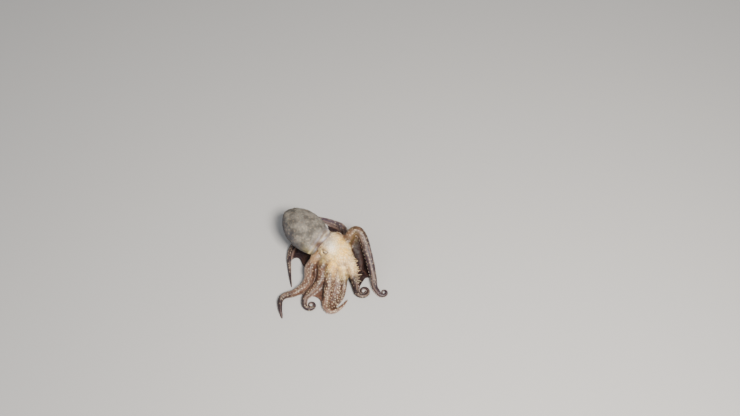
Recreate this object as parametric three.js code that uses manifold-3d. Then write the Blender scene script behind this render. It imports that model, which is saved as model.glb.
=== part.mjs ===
// A common octopus on the sea floor, life size: mantle, head, crown, funnel, two eyes, eight arms in
// lengths and eight webs. Millimetres, +Z up, floor at z = 0. The octopus looks towards +X and a
// little towards -Y. Every form is a function of a few named sizes. Forms that meet are parted by a
// cut as wide as GAP, so that each sub-part is one closed body of its own.

import * as THREE from 'three';
import { mergeVertices } from 'three/addons/utils/BufferGeometryUtils.js';
import Module from 'manifold-3d';

const wasm = await Module();
wasm.setup();

// ---- driving dimensions ----

const GAP = 0.3;                 // cut between two neighbouring sub-parts
const CUT_BLOCK = 400;           // side of the block that parts the head from the crown
const MERGE = 0.002;             // points nearer than this are one
const TIP_RADIUS = 1.2;          // every arm ends this thin
const SUCKER_RIDGE = 0.14;       // how far the suckered side stands out, as a share of the arm radius
const FLAT = 0.1;                // share of the arm radius that is pressed flat on the floor
const TAPER = 0.85;              // power of an arm's taper from base to coil, if it has none
const COIL_CLEARANCE = 1.28;     // room between the turns of a coiled tip, as a share of arm radius

// How finely the round forms are cut.
const ROUTE_SAMPLES = 24;        // points worked out between two points of an arm's route
const COIL_STEP = 0.5;           // spacing of the points worked out along a coil
const TANGENT_REACH = 3;         // points ahead and behind that give an arm its direction
const RING_STEP = 1.2;           // spacing of an arm's rings, as a share of its radius
const RING_STEP_MIN = 3.5;       // and never less than this
const LAST_RING_MIN = 1;         // a shorter last step is left out
const ARM_SIDES = 9;             // sides of an arm's rings
const ARM_TIP_SIDES = 8;         // and of the rings in its last two lengths
const CROWN_GRID = [17, 10];     // squares round and from pole to pole of the head and the crown
const EYE_GRID = [11, 7];
const MOUND_GRID = [9, 6];

const HEADING = -38.5;           // the way the head faces, degrees from +X
const HEAD = { centre: [-3, 20, 42], long: 27, wide: 30, high: 18 };
const CROWN = { centre: [15, 3, 30], long: 33, wide: 29, high: 25 };
const HEAD_FRONT = 3;            // plane that parts head from crown, ahead of the frame's middle
const EYE_PLACES = { right: [-9.5, -3.5, 48.5], left: [17, 37, 48.5] };
const EYE_TURN = { right: -90, left: 90 };  // the way each eye looks, degrees from the heading
const EYE_LIFT = 35;             // and how far upwards
const EYE_RADIUS = 6.5;
const EYE_MOUND = 8.5;           // fleshy mound that each eye sits in
const EYE_SINK = 4;              // how far the mound's middle lies inwards of the eye's

// Axis of the mantle from its open rim to its blunt end, and half its width and height along it.
const MANTLE_AXIS = [[-27, 23.5, 47], [-37, 31, 52], [-48, 40, 55], [-56, 49, 55]];
const MANTLE_HALF_WIDTH = [32, 38, 40.5, 40];
const MANTLE_HALF_HEIGHT = [25, 31, 33.5, 33];
const MANTLE_RIM_ROUNDING = 6;   // length of the rounded cap past the open end of the axis
const MANTLE_END_ROUNDING = 59;  // and past its blunt end
const MANTLE_CAP_POWER = 1.7;    // 2 rounds a cap as an ellipse, less makes it a little pointed
const MANTLE_RINGS = 3;
const MANTLE_SIDES = 20;
const MANTLE_CAP_STEPS = [0.04, 0.16, 0.35, 0.65];  // places of a cap's rings, from pole to rim

const FUNNEL_AXIS = [[-22, 2, 35], [-31, -6, 32], [-37, -13, 27]];
const FUNNEL_RADIUS = [9, 9.5, 7.5];
const FUNNEL_ROUNDING = 2;
const FUNNEL_CAP_POWER = 2;
const FUNNEL_RINGS = 4;
const FUNNEL_SIDES = 10;
const FUNNEL_CAP_STEPS = [0.3];

// Arms, numbered from the front: left_1 and right_1 are the front pair. A route is [x, y, lift],
// where lift is the height of the arm's underside above the floor. base and end are the arm's
// radius where it leaves the crown and where its coil or its end starts. turn is the radius of the
// coil over the radius of the arm, and way is 1 for a coil to the left and -1 to the right; an arm
// with no turn ends in a point. A taper under 1 keeps the arm thick for longer. roll turns the
// suckered side from straight down towards the arm's left, in degrees at base and tip. cuts are the
// places along the arm where it is parted into lengths.
const ARMS = {
  left_1: {
    route: [[22, 2, 18], [32, -8, 24], [41, -24, 19], [47, -42, 9], [51, -58, 1], [53, -70, 0]],
    base: 11.5, end: 6.2, turn: 2.6, way: 1, roll: [0, 70], cuts: [42, 76],
  },
  left_2: {
    route: [[27, 12, 16], [35, 27, 31], [45, 40, 45], [57, 42, 48], [68, 30, 42], [76, 7, 31],
      [84, -19, 17], [89, -42, 7], [92, -62, 1], [100, -76, 0]],
    base: 11.5, end: 5, turn: 2.2, way: 1, taper: 0.7, roll: [0, -40], cuts: [36, 92, 148],
  },
  left_3: {
    route: [[20, 20, 16], [29, 41, 8], [31, 65, 1], [21, 87, 0], [-2, 99, 0], [-23, 106, 0],
      [-52, 112, 0], [-76, 107, 0]],
    base: 9, end: 4, turn: 2.8, way: 1, roll: [0, 30], cuts: [58, 116, 170],
  },
  left_4: {
    route: [[6, 22, 14], [-17, 41, 4], [-51, 51, 0], [-79, 41, 0], [-88, 14, 0], [-86, -19, 0],
      [-83, -42, 0], [-80, -60, 0]],
    base: 10, end: TIP_RADIUS, roll: [0, 30], cuts: [62, 124, 176],
  },
  right_1: {
    route: [[19, -14, 18], [25, -31, 14], [28, -47, 8], [28, -60, 2], [27, -74, 0], [24, -88, 0],
      [16, -101, 0]],
    base: 11.5, end: TIP_RADIUS, roll: [0, 30], cuts: [40, 72],
  },
  right_2: {
    route: [[10, -16, 18], [1, -36, 14], [-3, -62, 6], [-6, -86, 1], [-10, -104, 0],
      [-3, -117, 0], [10, -118, 0], [24, -107, 0], [36, -90, 0]],
    base: 12.5, end: TIP_RADIUS, roll: [0, -30], cuts: [56, 108],
  },
  right_3: {
    route: [[-2, -10, 16], [-16, -18, 14], [-17, -41, 8], [-26, -60, 2], [-39, -75, 0],
      [-50, -87, 0], [-52, -98, 0]],
    base: 11, end: 6, turn: 2.4, way: 1, roll: [0, 50], cuts: [56, 98],
  },
  right_4: {
    route: [[-10, 0, 16], [-31, -9, 10], [-43, -24, 6], [-44, -43, 2], [-53, -62, 0],
      [-72, -77, 0], [-92, -83, 0], [-101, -93, 0], [-101, -111, 0], [-96, -133, 0]],
    base: 13, end: TIP_RADIUS, taper: 0.62, roll: [0, -20], cuts: [56, 108, 152],
  },
};

// Webs between neighbouring arms, going round the crown. from and to say how far along each of its
// two arms the web reaches, bow how deep its free edge is cut in, as a share of that, sag how far it
// hangs between the arms, and low where it joins the arm's side, if not at WEB_LOW.
const WEB_THICKNESS = 2;
const WEB_LOW = 0.35;            // joins the arm's side this many radii under its middle
const WEB_OVER_FLOOR = 0.4;      // a web stays this far over the floor
const WEB_SAG_SPEED = 1.6;       // how soon along its arms a web hangs fully
const WEBS = {
  front: { arms: ['right_1', 'left_1'], from: 50, to: 64, bow: 0.2, sag: 1, low: 0 },
  left_1_2: { arms: ['left_1', 'left_2'], from: 98, to: 158, bow: 0.15, sag: 22 },
  left_2_3: { arms: ['left_2', 'left_3'], from: 54, to: 84, bow: 0.2, sag: 8 },
  left_3_4: { arms: ['left_3', 'left_4'], from: 112, to: 96, bow: 0.3, sag: 6 },
  back: { arms: ['left_4', 'right_4'], from: 148, to: 68, bow: 0.3, sag: 4 },
  right_3_4: { arms: ['right_4', 'right_3'], from: 140, to: 96, bow: 0.15, sag: 3 },
  right_2_3: { arms: ['right_3', 'right_2'], from: 92, to: 102, bow: 0.12, sag: 5 },
  right_1_2: { arms: ['right_2', 'right_1'], from: 136, to: 92, bow: 0.12, sag: 3, low: 0 },
};
const WEB_ALONG = 5;             // squares of a web's grid along its arms
const WEB_ACROSS = 4;            // and across, from arm to arm

// ---- from shapes to solids ----

const radians = THREE.MathUtils.degToRad;

function toSolid(geometry) {
  const bare = geometry.clone();
  bare.deleteAttribute('normal');
  bare.deleteAttribute('uv');
  const merged = mergeVertices(bare, MERGE);
  return new wasm.Manifold(new wasm.Mesh({
    numProp: 3,
    vertProperties: new Float32Array(merged.attributes.position.array),
    triVerts: new Uint32Array(merged.index.array),
  }));
}

function toGeometry(solid) {
  const mesh = solid.getMesh();
  const geometry = new THREE.BufferGeometry();
  geometry.setAttribute('position', new THREE.BufferAttribute(mesh.vertProperties, 3));
  geometry.setIndex(new THREE.BufferAttribute(mesh.triVerts, 1));
  return geometry;
}

function joined(solids) {
  return solids.reduce((sum, solid) => sum.add(solid));
}

function largestPiece(solid) {
  const pieces = solid.decompose();
  return pieces.reduce((best, piece) => (piece.volume() > best.volume() ? piece : best));
}

// What a cut leaves as one clean body: its crumbs are dropped, and again once its points are merged.
function oneBody(solid) {
  return largestPiece(toSolid(toGeometry(largestPiece(solid))));
}

// Rings of points, all with the same count, become one closed body with a flat or pointed cap at
// each end. The rings turn anticlockwise as seen looking back along the sweep.
function closedTube(rings) {
  const sides = rings[0].length;
  const points = rings.flat();
  const faces = [];
  for (let ring = 0; ring < rings.length - 1; ring += 1) {
    for (let side = 0; side < sides; side += 1) {
      const next = (side + 1) % sides;
      const a = ring * sides + side;
      const b = ring * sides + next;
      faces.push(a, b, b + sides, a, b + sides, a + sides);
    }
  }
  const middle = (ring) => ring
    .reduce((sum, point) => sum.add(point), new THREE.Vector3())
    .divideScalar(sides);
  const first = points.push(middle(rings[0])) - 1;
  const last = points.push(middle(rings[rings.length - 1])) - 1;
  const lastRing = (rings.length - 1) * sides;
  for (let side = 0; side < sides; side += 1) {
    const next = (side + 1) % sides;
    faces.push(first, next, side);
    faces.push(last, lastRing + side, lastRing + next);
  }
  const geometry = new THREE.BufferGeometry().setFromPoints(points);
  geometry.setIndex(faces);
  return geometry;
}

// An ellipsoid whose long axis points along the head's heading, cut as an even grid of rings.
function ellipsoid({ centre, long, wide, high }, grow = 0) {
  const geometry = new THREE.SphereGeometry(1, ...CROWN_GRID);
  geometry.rotateX(Math.PI / 2);
  geometry.scale(long + grow, wide + grow, high + grow);
  geometry.rotateZ(radians(HEADING));
  geometry.translate(...centre);
  return toSolid(geometry);
}

// A block that fills all that lies ahead of a plane across the heading, at a distance along it.
function allAhead(distance) {
  const block = new THREE.BoxGeometry(CUT_BLOCK, CUT_BLOCK, CUT_BLOCK);
  block.translate(distance + CUT_BLOCK / 2, 0, 0);
  block.rotateZ(radians(HEADING));
  return toSolid(block);
}

// A smooth curve through the points of a list.
function curveThrough(list) {
  return new THREE.CatmullRomCurve3(
    list.map((point) => new THREE.Vector3(...point)),
    false,
    'catmullrom',
    0.5,
  );
}

// ---- body ----

// Values given at even steps, read in between on a smooth curve.
function smoothValue(values, share) {
  return curveThrough(values.map((value, index) => [index, value, 0])).getPoint(share).y;
}

// A sac along an axis, with an elliptic section and a rounded cap past each end.
function sac({ axis, width, height, caps, capSteps, capPower, rings, sides }, grow = 0) {
  const curve = curveThrough(axis);
  const section = (share, shrink, reach) => {
    const ahead = curve.getTangent(share);
    const across = new THREE.Vector3(0, 0, 1).cross(ahead).normalize();
    const up = ahead.clone().cross(across);
    const centre = curve.getPoint(share).addScaledVector(ahead, reach);
    const halfWidth = (smoothValue(width, share) + grow) * shrink;
    const halfHeight = (smoothValue(height, share) + grow) * shrink;
    return Array.from({ length: sides }, (_, side) => {
      const angle = (side / sides) * 2 * Math.PI;
      return centre.clone()
        .addScaledVector(across, Math.cos(angle) * halfWidth)
        .addScaledVector(up, Math.sin(angle) * halfHeight);
    });
  };
  const capShape = (step) => (1 - (1 - step) ** capPower) ** (1 / capPower);
  const loop = [];
  capSteps.forEach((step) => {
    loop.push(section(0, capShape(step), -(caps[0] + grow) * (1 - step)));
  });
  for (let ring = 0; ring <= rings; ring += 1) {
    loop.push(section(ring / rings, 1, 0));
  }
  capSteps.slice().reverse().forEach((step) => {
    loop.push(section(1, capShape(step), (caps[1] + grow) * (1 - step)));
  });
  return toSolid(closedTube(loop));
}

function mantleForm(grow = 0) {
  return sac({
    axis: MANTLE_AXIS,
    width: MANTLE_HALF_WIDTH,
    height: MANTLE_HALF_HEIGHT,
    caps: [MANTLE_RIM_ROUNDING, MANTLE_END_ROUNDING],
    capSteps: MANTLE_CAP_STEPS,
    capPower: MANTLE_CAP_POWER,
    rings: MANTLE_RINGS,
    sides: MANTLE_SIDES,
  }, grow);
}

function funnelForm(grow = 0) {
  return sac({
    axis: FUNNEL_AXIS,
    width: FUNNEL_RADIUS,
    height: FUNNEL_RADIUS,
    caps: [FUNNEL_ROUNDING, FUNNEL_ROUNDING],
    capSteps: FUNNEL_CAP_STEPS,
    capPower: FUNNEL_CAP_POWER,
    rings: FUNNEL_RINGS,
    sides: FUNNEL_SIDES,
  }, grow);
}

function eyeForm(side, grow = 0) {
  const geometry = new THREE.SphereGeometry(EYE_RADIUS + grow, ...EYE_GRID);
  geometry.translate(...EYE_PLACES[side]);
  return toSolid(geometry);
}

function eyeMound(side, grow = 0) {
  const bearing = radians(HEADING + EYE_TURN[side]);
  const level = Math.cos(radians(EYE_LIFT));
  const outwards = new THREE.Vector3(
    Math.cos(bearing) * level,
    Math.sin(bearing) * level,
    Math.sin(radians(EYE_LIFT)),
  );
  const middle = new THREE.Vector3(...EYE_PLACES[side]).addScaledVector(outwards, -EYE_SINK);
  const geometry = new THREE.SphereGeometry(EYE_MOUND + grow, ...MOUND_GRID);
  geometry.translate(middle.x, middle.y, middle.z);
  return toSolid(geometry);
}

function headForm(grow = 0) {
  return joined([ellipsoid(HEAD, grow), eyeMound('right', grow), eyeMound('left', grow)]);
}

function crownForm(grow = 0) {
  return ellipsoid(CROWN, grow);
}

// ---- arms ----

// A coil whose turns lie just inside one another is a logarithmic spiral: this is how fast the
// arm's radius then falls along its length.
function coilTaper(turn) {
  const share = COIL_CLEARANCE / turn;
  const pull = -Math.log((1 - share) / (1 + share)) / (2 * Math.PI);
  return pull / turn / Math.hypot(1, pull);
}

function runningLength(points) {
  const length = [0];
  for (let index = 1; index < points.length; index += 1) {
    length.push(length[index - 1] + points[index].distanceTo(points[index - 1]));
  }
  return length;
}

// The arm's middle line as even points with the length, radius and roll at each. The route is a
// smooth curve through its hand-set points, and the coil goes on from its last heading.
function armLine({ route, base, end, turn, way, roll, taper = TAPER }) {
  const points = curveThrough(route).getPoints((route.length - 1) * ROUTE_SAMPLES);
  const along = runningLength(points);
  const total = along[along.length - 1];
  const radius = along.map((s) => end + (base - end) * (1 - s / total) ** taper);
  if (turn) {
    const fall = coilTaper(turn);
    const steps = Math.round((end - TIP_RADIUS) / fall / COIL_STEP);
    const last = points[points.length - 1];
    const before = points[points.length - 2];
    let heading = Math.atan2(last.y - before.y, last.x - before.x);
    for (let step = 1; step <= steps; step += 1) {
      const thickness = end - fall * COIL_STEP * step;
      heading += (way * COIL_STEP) / (turn * thickness);
      const point = points[points.length - 1].clone();
      point.x += Math.cos(heading) * COIL_STEP;
      point.y += Math.sin(heading) * COIL_STEP;
      points.push(point);
      radius.push(thickness);
    }
  }
  const reach = runningLength(points);
  const turned = reach.map((s) => radians(THREE.MathUtils.lerp(...roll, s / reach[reach.length - 1])));
  points.forEach((point, index) => {
    const ridge = 1 + SUCKER_RIDGE * Math.max(0, Math.cos(turned[index])) ** 3;
    point.z = Math.max(0, point.z) + radius[index] * ridge * (1 - FLAT);
  });
  return { points, radius, turned, along: runningLength(points) };
}

// Place, radius, roll and frame of the arm at a length along its middle line.
function armAt(line, s) {
  const { points, radius, turned, along } = line;
  let high = along.findIndex((value) => value >= s);
  if (high < 1) {
    high = s <= 0 ? 1 : along.length - 1;
  }
  const low = high - 1;
  const share = THREE.MathUtils.clamp((s - along[low]) / (along[high] - along[low]), 0, 1);
  const ahead = points[Math.min(points.length - 1, high + TANGENT_REACH)]
    .clone()
    .sub(points[Math.max(0, low - TANGENT_REACH)])
    .normalize();
  const left = new THREE.Vector3(0, 0, 1).cross(ahead).normalize();
  return {
    centre: points[low].clone().lerp(points[high], share),
    ahead,
    radius: THREE.MathUtils.lerp(radius[low], radius[high], share),
    turned: THREE.MathUtils.lerp(turned[low], turned[high], share),
    left,
    up: ahead.clone().cross(left),
  };
}

// One ring of the arm: round, with a low ridge on the suckered side. shift moves it straight ahead.
// What would lie under the floor is pressed flat on it.
function armRing(line, s, sides, grow, shift) {
  const { centre, radius, turned, ahead, left, up } = armAt(line, s);
  centre.addScaledVector(ahead, shift);
  return Array.from({ length: sides }, (_, side) => {
    const angle = ((side + 0.5) / sides) * 2 * Math.PI;
    const ridge = 1 + SUCKER_RIDGE * Math.max(0, Math.cos(angle - turned)) ** 3;
    const reach = radius * ridge + grow;
    const point = centre.clone()
      .addScaledVector(up, -Math.cos(angle) * reach)
      .addScaledVector(left, Math.sin(angle) * reach);
    return point.setZ(Math.max(-grow, point.z));
  });
}

function armForm(line, start, stop, sides, grow = 0) {
  const stations = [start];
  let s = start;
  while (s < stop) {
    s += Math.max(RING_STEP_MIN, RING_STEP * armAt(line, s).radius);
    stations.push(Math.min(s, stop));
  }
  const count = stations.length;
  if (count > 2 && stations[count - 1] - stations[count - 2] < LAST_RING_MIN) {
    stations.splice(count - 2, 1);
  }
  const end = stations.length - 1;
  const trim = grow ? 0 : GAP / 2;
  const shift = (index) => (index === 0 ? trim : 0) - (index === end ? trim : 0);
  return toSolid(closedTube(
    stations.map((station, index) => armRing(line, station, sides, grow, shift(index))),
  ));
}

// ---- webs ----

// A thin sheet between the middle lines of two arms. Its free edge is cut in by bow, and its middle
// hangs by sag, but never under the floor.
function webForm({ arms, from, to, bow, sag, low = WEB_LOW }, lines) {
  const [first, second] = arms.map((name) => lines[name]);
  const top = [];
  for (let row = 0; row <= WEB_ALONG; row += 1) {
    for (let column = 0; column <= WEB_ACROSS; column += 1) {
      const across = column / WEB_ACROSS;
      const hump = 4 * across * (1 - across);
      const out = (row / WEB_ALONG) * (1 - bow * hump * (row / WEB_ALONG));
      const sideA = armAt(first, from * out);
      const sideB = armAt(second, to * out);
      const a = sideA.centre.clone();
      const b = sideB.centre.clone();
      a.z -= sideA.radius * low;
      b.z -= sideB.radius * low;
      const point = a.lerp(b, across);
      point.z -= sag * hump * Math.min(1, out * WEB_SAG_SPEED);
      point.z = Math.max(WEB_THICKNESS + WEB_OVER_FLOOR, point.z);
      top.push(point);
    }
  }
  const count = top.length;
  const points = top.concat(top.map((point) => point.clone().setZ(point.z - WEB_THICKNESS)));
  const wide = WEB_ACROSS + 1;
  const faces = [];
  const square = (a, b, c, d) => faces.push(a, b, c, a, c, d);
  for (let row = 0; row < WEB_ALONG; row += 1) {
    for (let column = 0; column < WEB_ACROSS; column += 1) {
      const a = row * wide + column;
      square(a, a + wide, a + wide + 1, a + 1);
      square(count + a, count + a + 1, count + a + wide + 1, count + a + wide);
    }
  }
  const rim = [];
  for (let column = 0; column < WEB_ACROSS; column += 1) {
    rim.push(column);
  }
  for (let row = 0; row < WEB_ALONG; row += 1) {
    rim.push(row * wide + WEB_ACROSS);
  }
  for (let column = WEB_ACROSS; column > 0; column -= 1) {
    rim.push(WEB_ALONG * wide + column);
  }
  for (let row = WEB_ALONG; row > 0; row -= 1) {
    rim.push(row * wide);
  }
  rim.forEach((a, index) => {
    const b = rim[(index + 1) % rim.length];
    square(a, b, count + b, count + a);
  });
  const geometry = new THREE.BufferGeometry().setFromPoints(points);
  geometry.setIndex(faces);
  return toSolid(geometry);
}

// ---- materials ----

function flesh(colour) {
  return new THREE.MeshStandardMaterial({ color: colour, roughness: 0.5, metalness: 0 });
}

const MATERIALS = {
  mantle: flesh(0xa1928a),
  head: flesh(0xebd8c1),
  crown: flesh(0xf6e8cd),
  funnel: flesh(0xab917b),
  eye: new THREE.MeshStandardMaterial({ color: 0x8a7358, roughness: 0.15, metalness: 0 }),
  arm: flesh(0x967b73),
  web: flesh(0x6f5d55),
};

// ---- the octopus ----

const octopus = new THREE.Group();

function add(name, solid, material) {
  const mesh = new THREE.Mesh(toGeometry(solid), material);
  mesh.name = name;
  octopus.add(mesh);
}

const eyesCut = joined([eyeForm('right', GAP), eyeForm('left', GAP)]);
const skull = headForm().add(crownForm());
const skullCut = joined([headForm(GAP), crownForm(GAP), eyesCut]);
const mantleCut = mantleForm(GAP);
const funnelCut = funnelForm(GAP);

add('eye_right', eyeForm('right'), MATERIALS.eye);
add('eye_left', eyeForm('left'), MATERIALS.eye);
add('head', oneBody(skull.subtract(eyesCut).subtract(allAhead(HEAD_FRONT - GAP))), MATERIALS.head);
add('crown', oneBody(skull.subtract(eyesCut).intersect(allAhead(HEAD_FRONT))), MATERIALS.crown);
add('mantle', oneBody(mantleForm().subtract(skullCut)), MATERIALS.mantle);
add('funnel', oneBody(funnelForm().subtract(skullCut).subtract(mantleCut)), MATERIALS.funnel);

const lines = Object.fromEntries(
  Object.entries(ARMS).map(([name, arm]) => [name, armLine(arm)]),
);

const LENGTH_NAMES = {
  2: ['base', 'middle', 'tip'],
  3: ['base', 'upper', 'lower', 'tip'],
};
let bodyCut = joined([skullCut, mantleCut, funnelCut]);
Object.entries(ARMS).forEach(([name, { cuts }]) => {
  const line = lines[name];
  const total = line.along[line.along.length - 1];
  const ends = [0, ...cuts, total];
  const armCuts = [];
  LENGTH_NAMES[cuts.length].forEach((part, index) => {
    const start = ends[index];
    const stop = ends[index + 1];
    const sides = index < cuts.length - 1 ? ARM_SIDES : ARM_TIP_SIDES;
    const solid = armForm(line, start, stop, sides).subtract(bodyCut);
    add(`arm_${name}_${part}`, oneBody(solid), MATERIALS.arm);
    armCuts.push(armForm(line, start, stop, sides, GAP));
  });
  bodyCut = joined([bodyCut, ...armCuts]);
});

Object.entries(WEBS).forEach(([name, web]) => {
  add(`web_${name}`, oneBody(webForm(web, lines).subtract(bodyCut)), MATERIALS.web);
});

const bounds = new THREE.Box3().setFromObject(octopus);
octopus.children.forEach((mesh) => {
  mesh.geometry.translate(
    -(bounds.min.x + bounds.max.x) / 2,
    -(bounds.min.y + bounds.max.y) / 2,
    -bounds.min.z,
  );
});

export default octopus;
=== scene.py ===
"""A common octopus at rest on the floor, life size, dressed over the frame's solids.

Shapes are worked out in millimetres in the octopus's own frame, and moved to the shared frame, in
metres, as each mesh is made.
"""

import bpy
import numpy as np
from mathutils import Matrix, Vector


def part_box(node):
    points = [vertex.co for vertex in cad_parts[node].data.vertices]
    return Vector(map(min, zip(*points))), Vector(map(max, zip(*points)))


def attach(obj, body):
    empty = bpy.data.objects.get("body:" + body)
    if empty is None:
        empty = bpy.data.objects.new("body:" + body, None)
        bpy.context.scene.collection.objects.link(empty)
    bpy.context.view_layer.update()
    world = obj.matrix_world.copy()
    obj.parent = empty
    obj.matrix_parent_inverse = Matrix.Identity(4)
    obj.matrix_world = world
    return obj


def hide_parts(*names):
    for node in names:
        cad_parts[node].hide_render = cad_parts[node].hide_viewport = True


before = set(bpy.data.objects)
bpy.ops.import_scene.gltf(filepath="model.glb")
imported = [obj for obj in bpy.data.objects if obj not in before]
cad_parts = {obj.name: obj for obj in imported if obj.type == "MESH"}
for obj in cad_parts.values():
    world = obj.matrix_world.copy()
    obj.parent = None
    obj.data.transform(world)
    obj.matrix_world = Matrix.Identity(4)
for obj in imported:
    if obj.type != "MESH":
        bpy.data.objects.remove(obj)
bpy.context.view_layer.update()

# ---- Where the octopus stands ----
# The frame's solids say where the animal's own frame lies in the shared one: the middle of the
# right eye is known in both.

MM = 0.001
EYE_PLACES = {"right": np.array([-9.5, -3.5, 48.5]), "left": np.array([17.0, 37.0, 48.5])}


def ball_middle(node):
    """Middle of a ball in mm: the least-squares answer to |point|^2 = 2 point . middle + rest."""
    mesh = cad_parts[node].data
    points = np.empty(len(mesh.vertices) * 3)
    mesh.vertices.foreach_get("co", points)
    points = points.reshape(-1, 3) / MM
    table = np.column_stack([2 * points, np.ones(len(points))])
    return np.linalg.lstsq(table, (points ** 2).sum(1), rcond=None)[0][:3]


OFFSET = ball_middle("eye_right") - EYE_PLACES["right"]

# ---- The view ----
# A camera that looks down on the head from in front and to the animal's right. The octopus lies
# left of and below the middle of the view.

CAMERA_TILT = np.radians(55)     # how far below the level it looks
CAMERA_LENS = 50.0
CAMERA_SENSOR = 36.0
CAMERA_DISTANCE = 2160.0
CAMERA_REACH = 20.0              # how far it sees, in metres
VIEW_MIDDLE = (82.0, 115.5)      # from the octopus's own origin, across and up the view

across = np.array([1.0, 0.0, 0.0])
upwards = np.array([0.0, np.sin(CAMERA_TILT), np.cos(CAMERA_TILT)])
away = np.array([0.0, np.cos(CAMERA_TILT), -np.sin(CAMERA_TILT)])
eye_point = VIEW_MIDDLE[0] * across + VIEW_MIDDLE[1] * upwards - CAMERA_DISTANCE * away + OFFSET
camera_data = bpy.data.cameras.new("camera")
camera_data.lens = CAMERA_LENS
camera_data.sensor_width = CAMERA_SENSOR
camera_data.clip_end = CAMERA_REACH
camera = bpy.data.objects.new("camera", camera_data)
camera.location = Vector(eye_point * MM)
camera.rotation_euler = (np.pi / 2 - CAMERA_TILT, 0, 0)
bpy.context.scene.collection.objects.link(camera)
bpy.context.scene.camera = camera

# ---- Floor and light ----
# A pale plain floor lies just under the suckers. A wide soft lamp stands in front to the right and
# a weaker one opposite, under an even sky.

FLOOR_HALF = 6.0                 # half its side, m
FLOOR_DROP = 0.0002              # how far it lies under the octopus, m


def new_material(name, settings):
    """A material whose shader has the given numbers and colours on its own sockets."""
    material = bpy.data.materials.new(name)
    material.use_nodes = True
    for socket, value in settings.items():
        material.node_tree.nodes["Principled BSDF"].inputs[socket].default_value = value
    return material


floor_mesh = bpy.data.meshes.new("floor")
floor_mesh.from_pydata([(x * FLOOR_HALF, y * FLOOR_HALF, -FLOOR_DROP)
                        for x, y in ((-1, -1), (1, -1), (1, 1), (-1, 1))], [], [(0, 1, 2, 3)])
floor_mesh.materials.append(new_material("floor", {"Base Color": (0.43, 0.42, 0.415, 1),
                                                   "Roughness": 0.85}))
floor = bpy.data.objects.new("floor", floor_mesh)
bpy.context.scene.collection.objects.link(floor)


def add_lamp(name, place, size, power, colour):
    """A square lamp that faces the octopus."""
    lamp = bpy.data.lights.new(name, "AREA")
    lamp.size = size
    lamp.energy = power
    lamp.color = colour
    holder = bpy.data.objects.new(name, lamp)
    holder.location = place
    holder.rotation_euler = (-Vector(place)).to_track_quat("-Z", "Y").to_euler()
    bpy.context.scene.collection.objects.link(holder)


add_lamp("key_lamp", place=(0.6, -0.9, 1.6), size=0.6, power=86, colour=(1.0, 0.95, 0.87))
add_lamp("fill_lamp", place=(-1.4, -0.6, 1.3), size=1.4, power=6, colour=(0.90, 0.95, 1.0))
world = bpy.data.worlds.new("sky")
bpy.context.scene.world = world
world.use_nodes = True
sky = world.node_tree.nodes["Background"]
sky.inputs["Color"].default_value = (0.92, 0.96, 1.0, 1)
sky.inputs["Strength"].default_value = 0.40

# ---- The arms' middle lines ----
# Eight muscular arms with no bones leave the crown of flesh around the mouth. Each bends freely,
# thins towards its end, and most end in a coil. All later pieces are laid out along these lines.

TIP_RADIUS = 1.2
SUCKER_RIDGE = 0.14              # how much the suckers lift an arm that stands on them
FLAT = 0.1                       # how much of its radius an arm is pressed flat by
TAPER = 0.85
COIL_CLEARANCE = 1.28            # distance between a coil's turns, over the sum of their radii
COIL_STEP = 0.5
ROUTE_SAMPLES = 24
LINE_STEP = 1.0                  # spacing of a finished line's points, mm

# A route gives places from the crown outwards, in mm, and the radius falls from base to end. A
# coil bends round turn radii, to the left where way is 1. Roll gives the degrees that the suckered
# side turns from the floor to the left, at the arm's root and at its tip.
ARMS = {
    "left_1": dict(
        route=[(22, 2, 18), (32, -8, 24), (41, -24, 19), (47, -42, 9), (51, -58, 1),
               (53, -70, 0)],
        base=11.5, end=6.2, turn=2.6, way=1, roll=(0, 70)),
    "left_2": dict(
        route=[(27, 12, 16), (35, 27, 31), (45, 40, 45), (57, 42, 48), (68, 30, 42), (76, 7, 31),
               (84, -19, 17), (89, -42, 7), (92, -62, 1), (100, -76, 0)],
        base=11.5, end=5, turn=2.2, way=1, roll=(0, -40), taper=0.7),
    "left_3": dict(
        route=[(20, 20, 16), (29, 41, 8), (31, 65, 1), (21, 87, 0), (-2, 99, 0), (-23, 106, 0),
               (-52, 112, 0), (-76, 107, 0)],
        base=9, end=4, turn=2.8, way=1, roll=(0, 30)),
    "left_4": dict(
        route=[(6, 22, 14), (-17, 41, 4), (-51, 51, 0), (-79, 41, 0), (-88, 14, 0), (-86, -19, 0),
               (-83, -42, 0), (-80, -60, 0)],
        base=10, end=TIP_RADIUS, turn=0, way=0, roll=(0, 30)),
    "right_1": dict(
        route=[(19, -14, 18), (25, -31, 14), (28, -47, 8), (28, -60, 2), (27, -74, 0),
               (24, -88, 0), (16, -101, 0)],
        base=11.5, end=TIP_RADIUS, turn=0, way=0, roll=(0, 30)),
    "right_2": dict(
        route=[(10, -16, 18), (1, -36, 14), (-3, -62, 6), (-6, -86, 1), (-10, -104, 0),
               (-3, -117, 0), (10, -118, 0), (24, -107, 0), (36, -90, 0)],
        base=12.5, end=TIP_RADIUS, turn=0, way=0, roll=(0, -30)),
    "right_3": dict(
        route=[(-2, -10, 16), (-16, -18, 14), (-17, -41, 8), (-26, -60, 2), (-39, -75, 0),
               (-50, -87, 0), (-52, -98, 0)],
        base=11, end=6, turn=2.4, way=1, roll=(0, 50)),
    "right_4": dict(
        route=[(-10, 0, 16), (-31, -9, 10), (-43, -24, 6), (-44, -43, 2), (-53, -62, 0),
               (-72, -77, 0), (-92, -83, 0), (-101, -93, 0), (-101, -111, 0), (-96, -133, 0)],
        base=13, end=TIP_RADIUS, turn=0, way=0, roll=(0, -20), taper=0.62),
}


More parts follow.
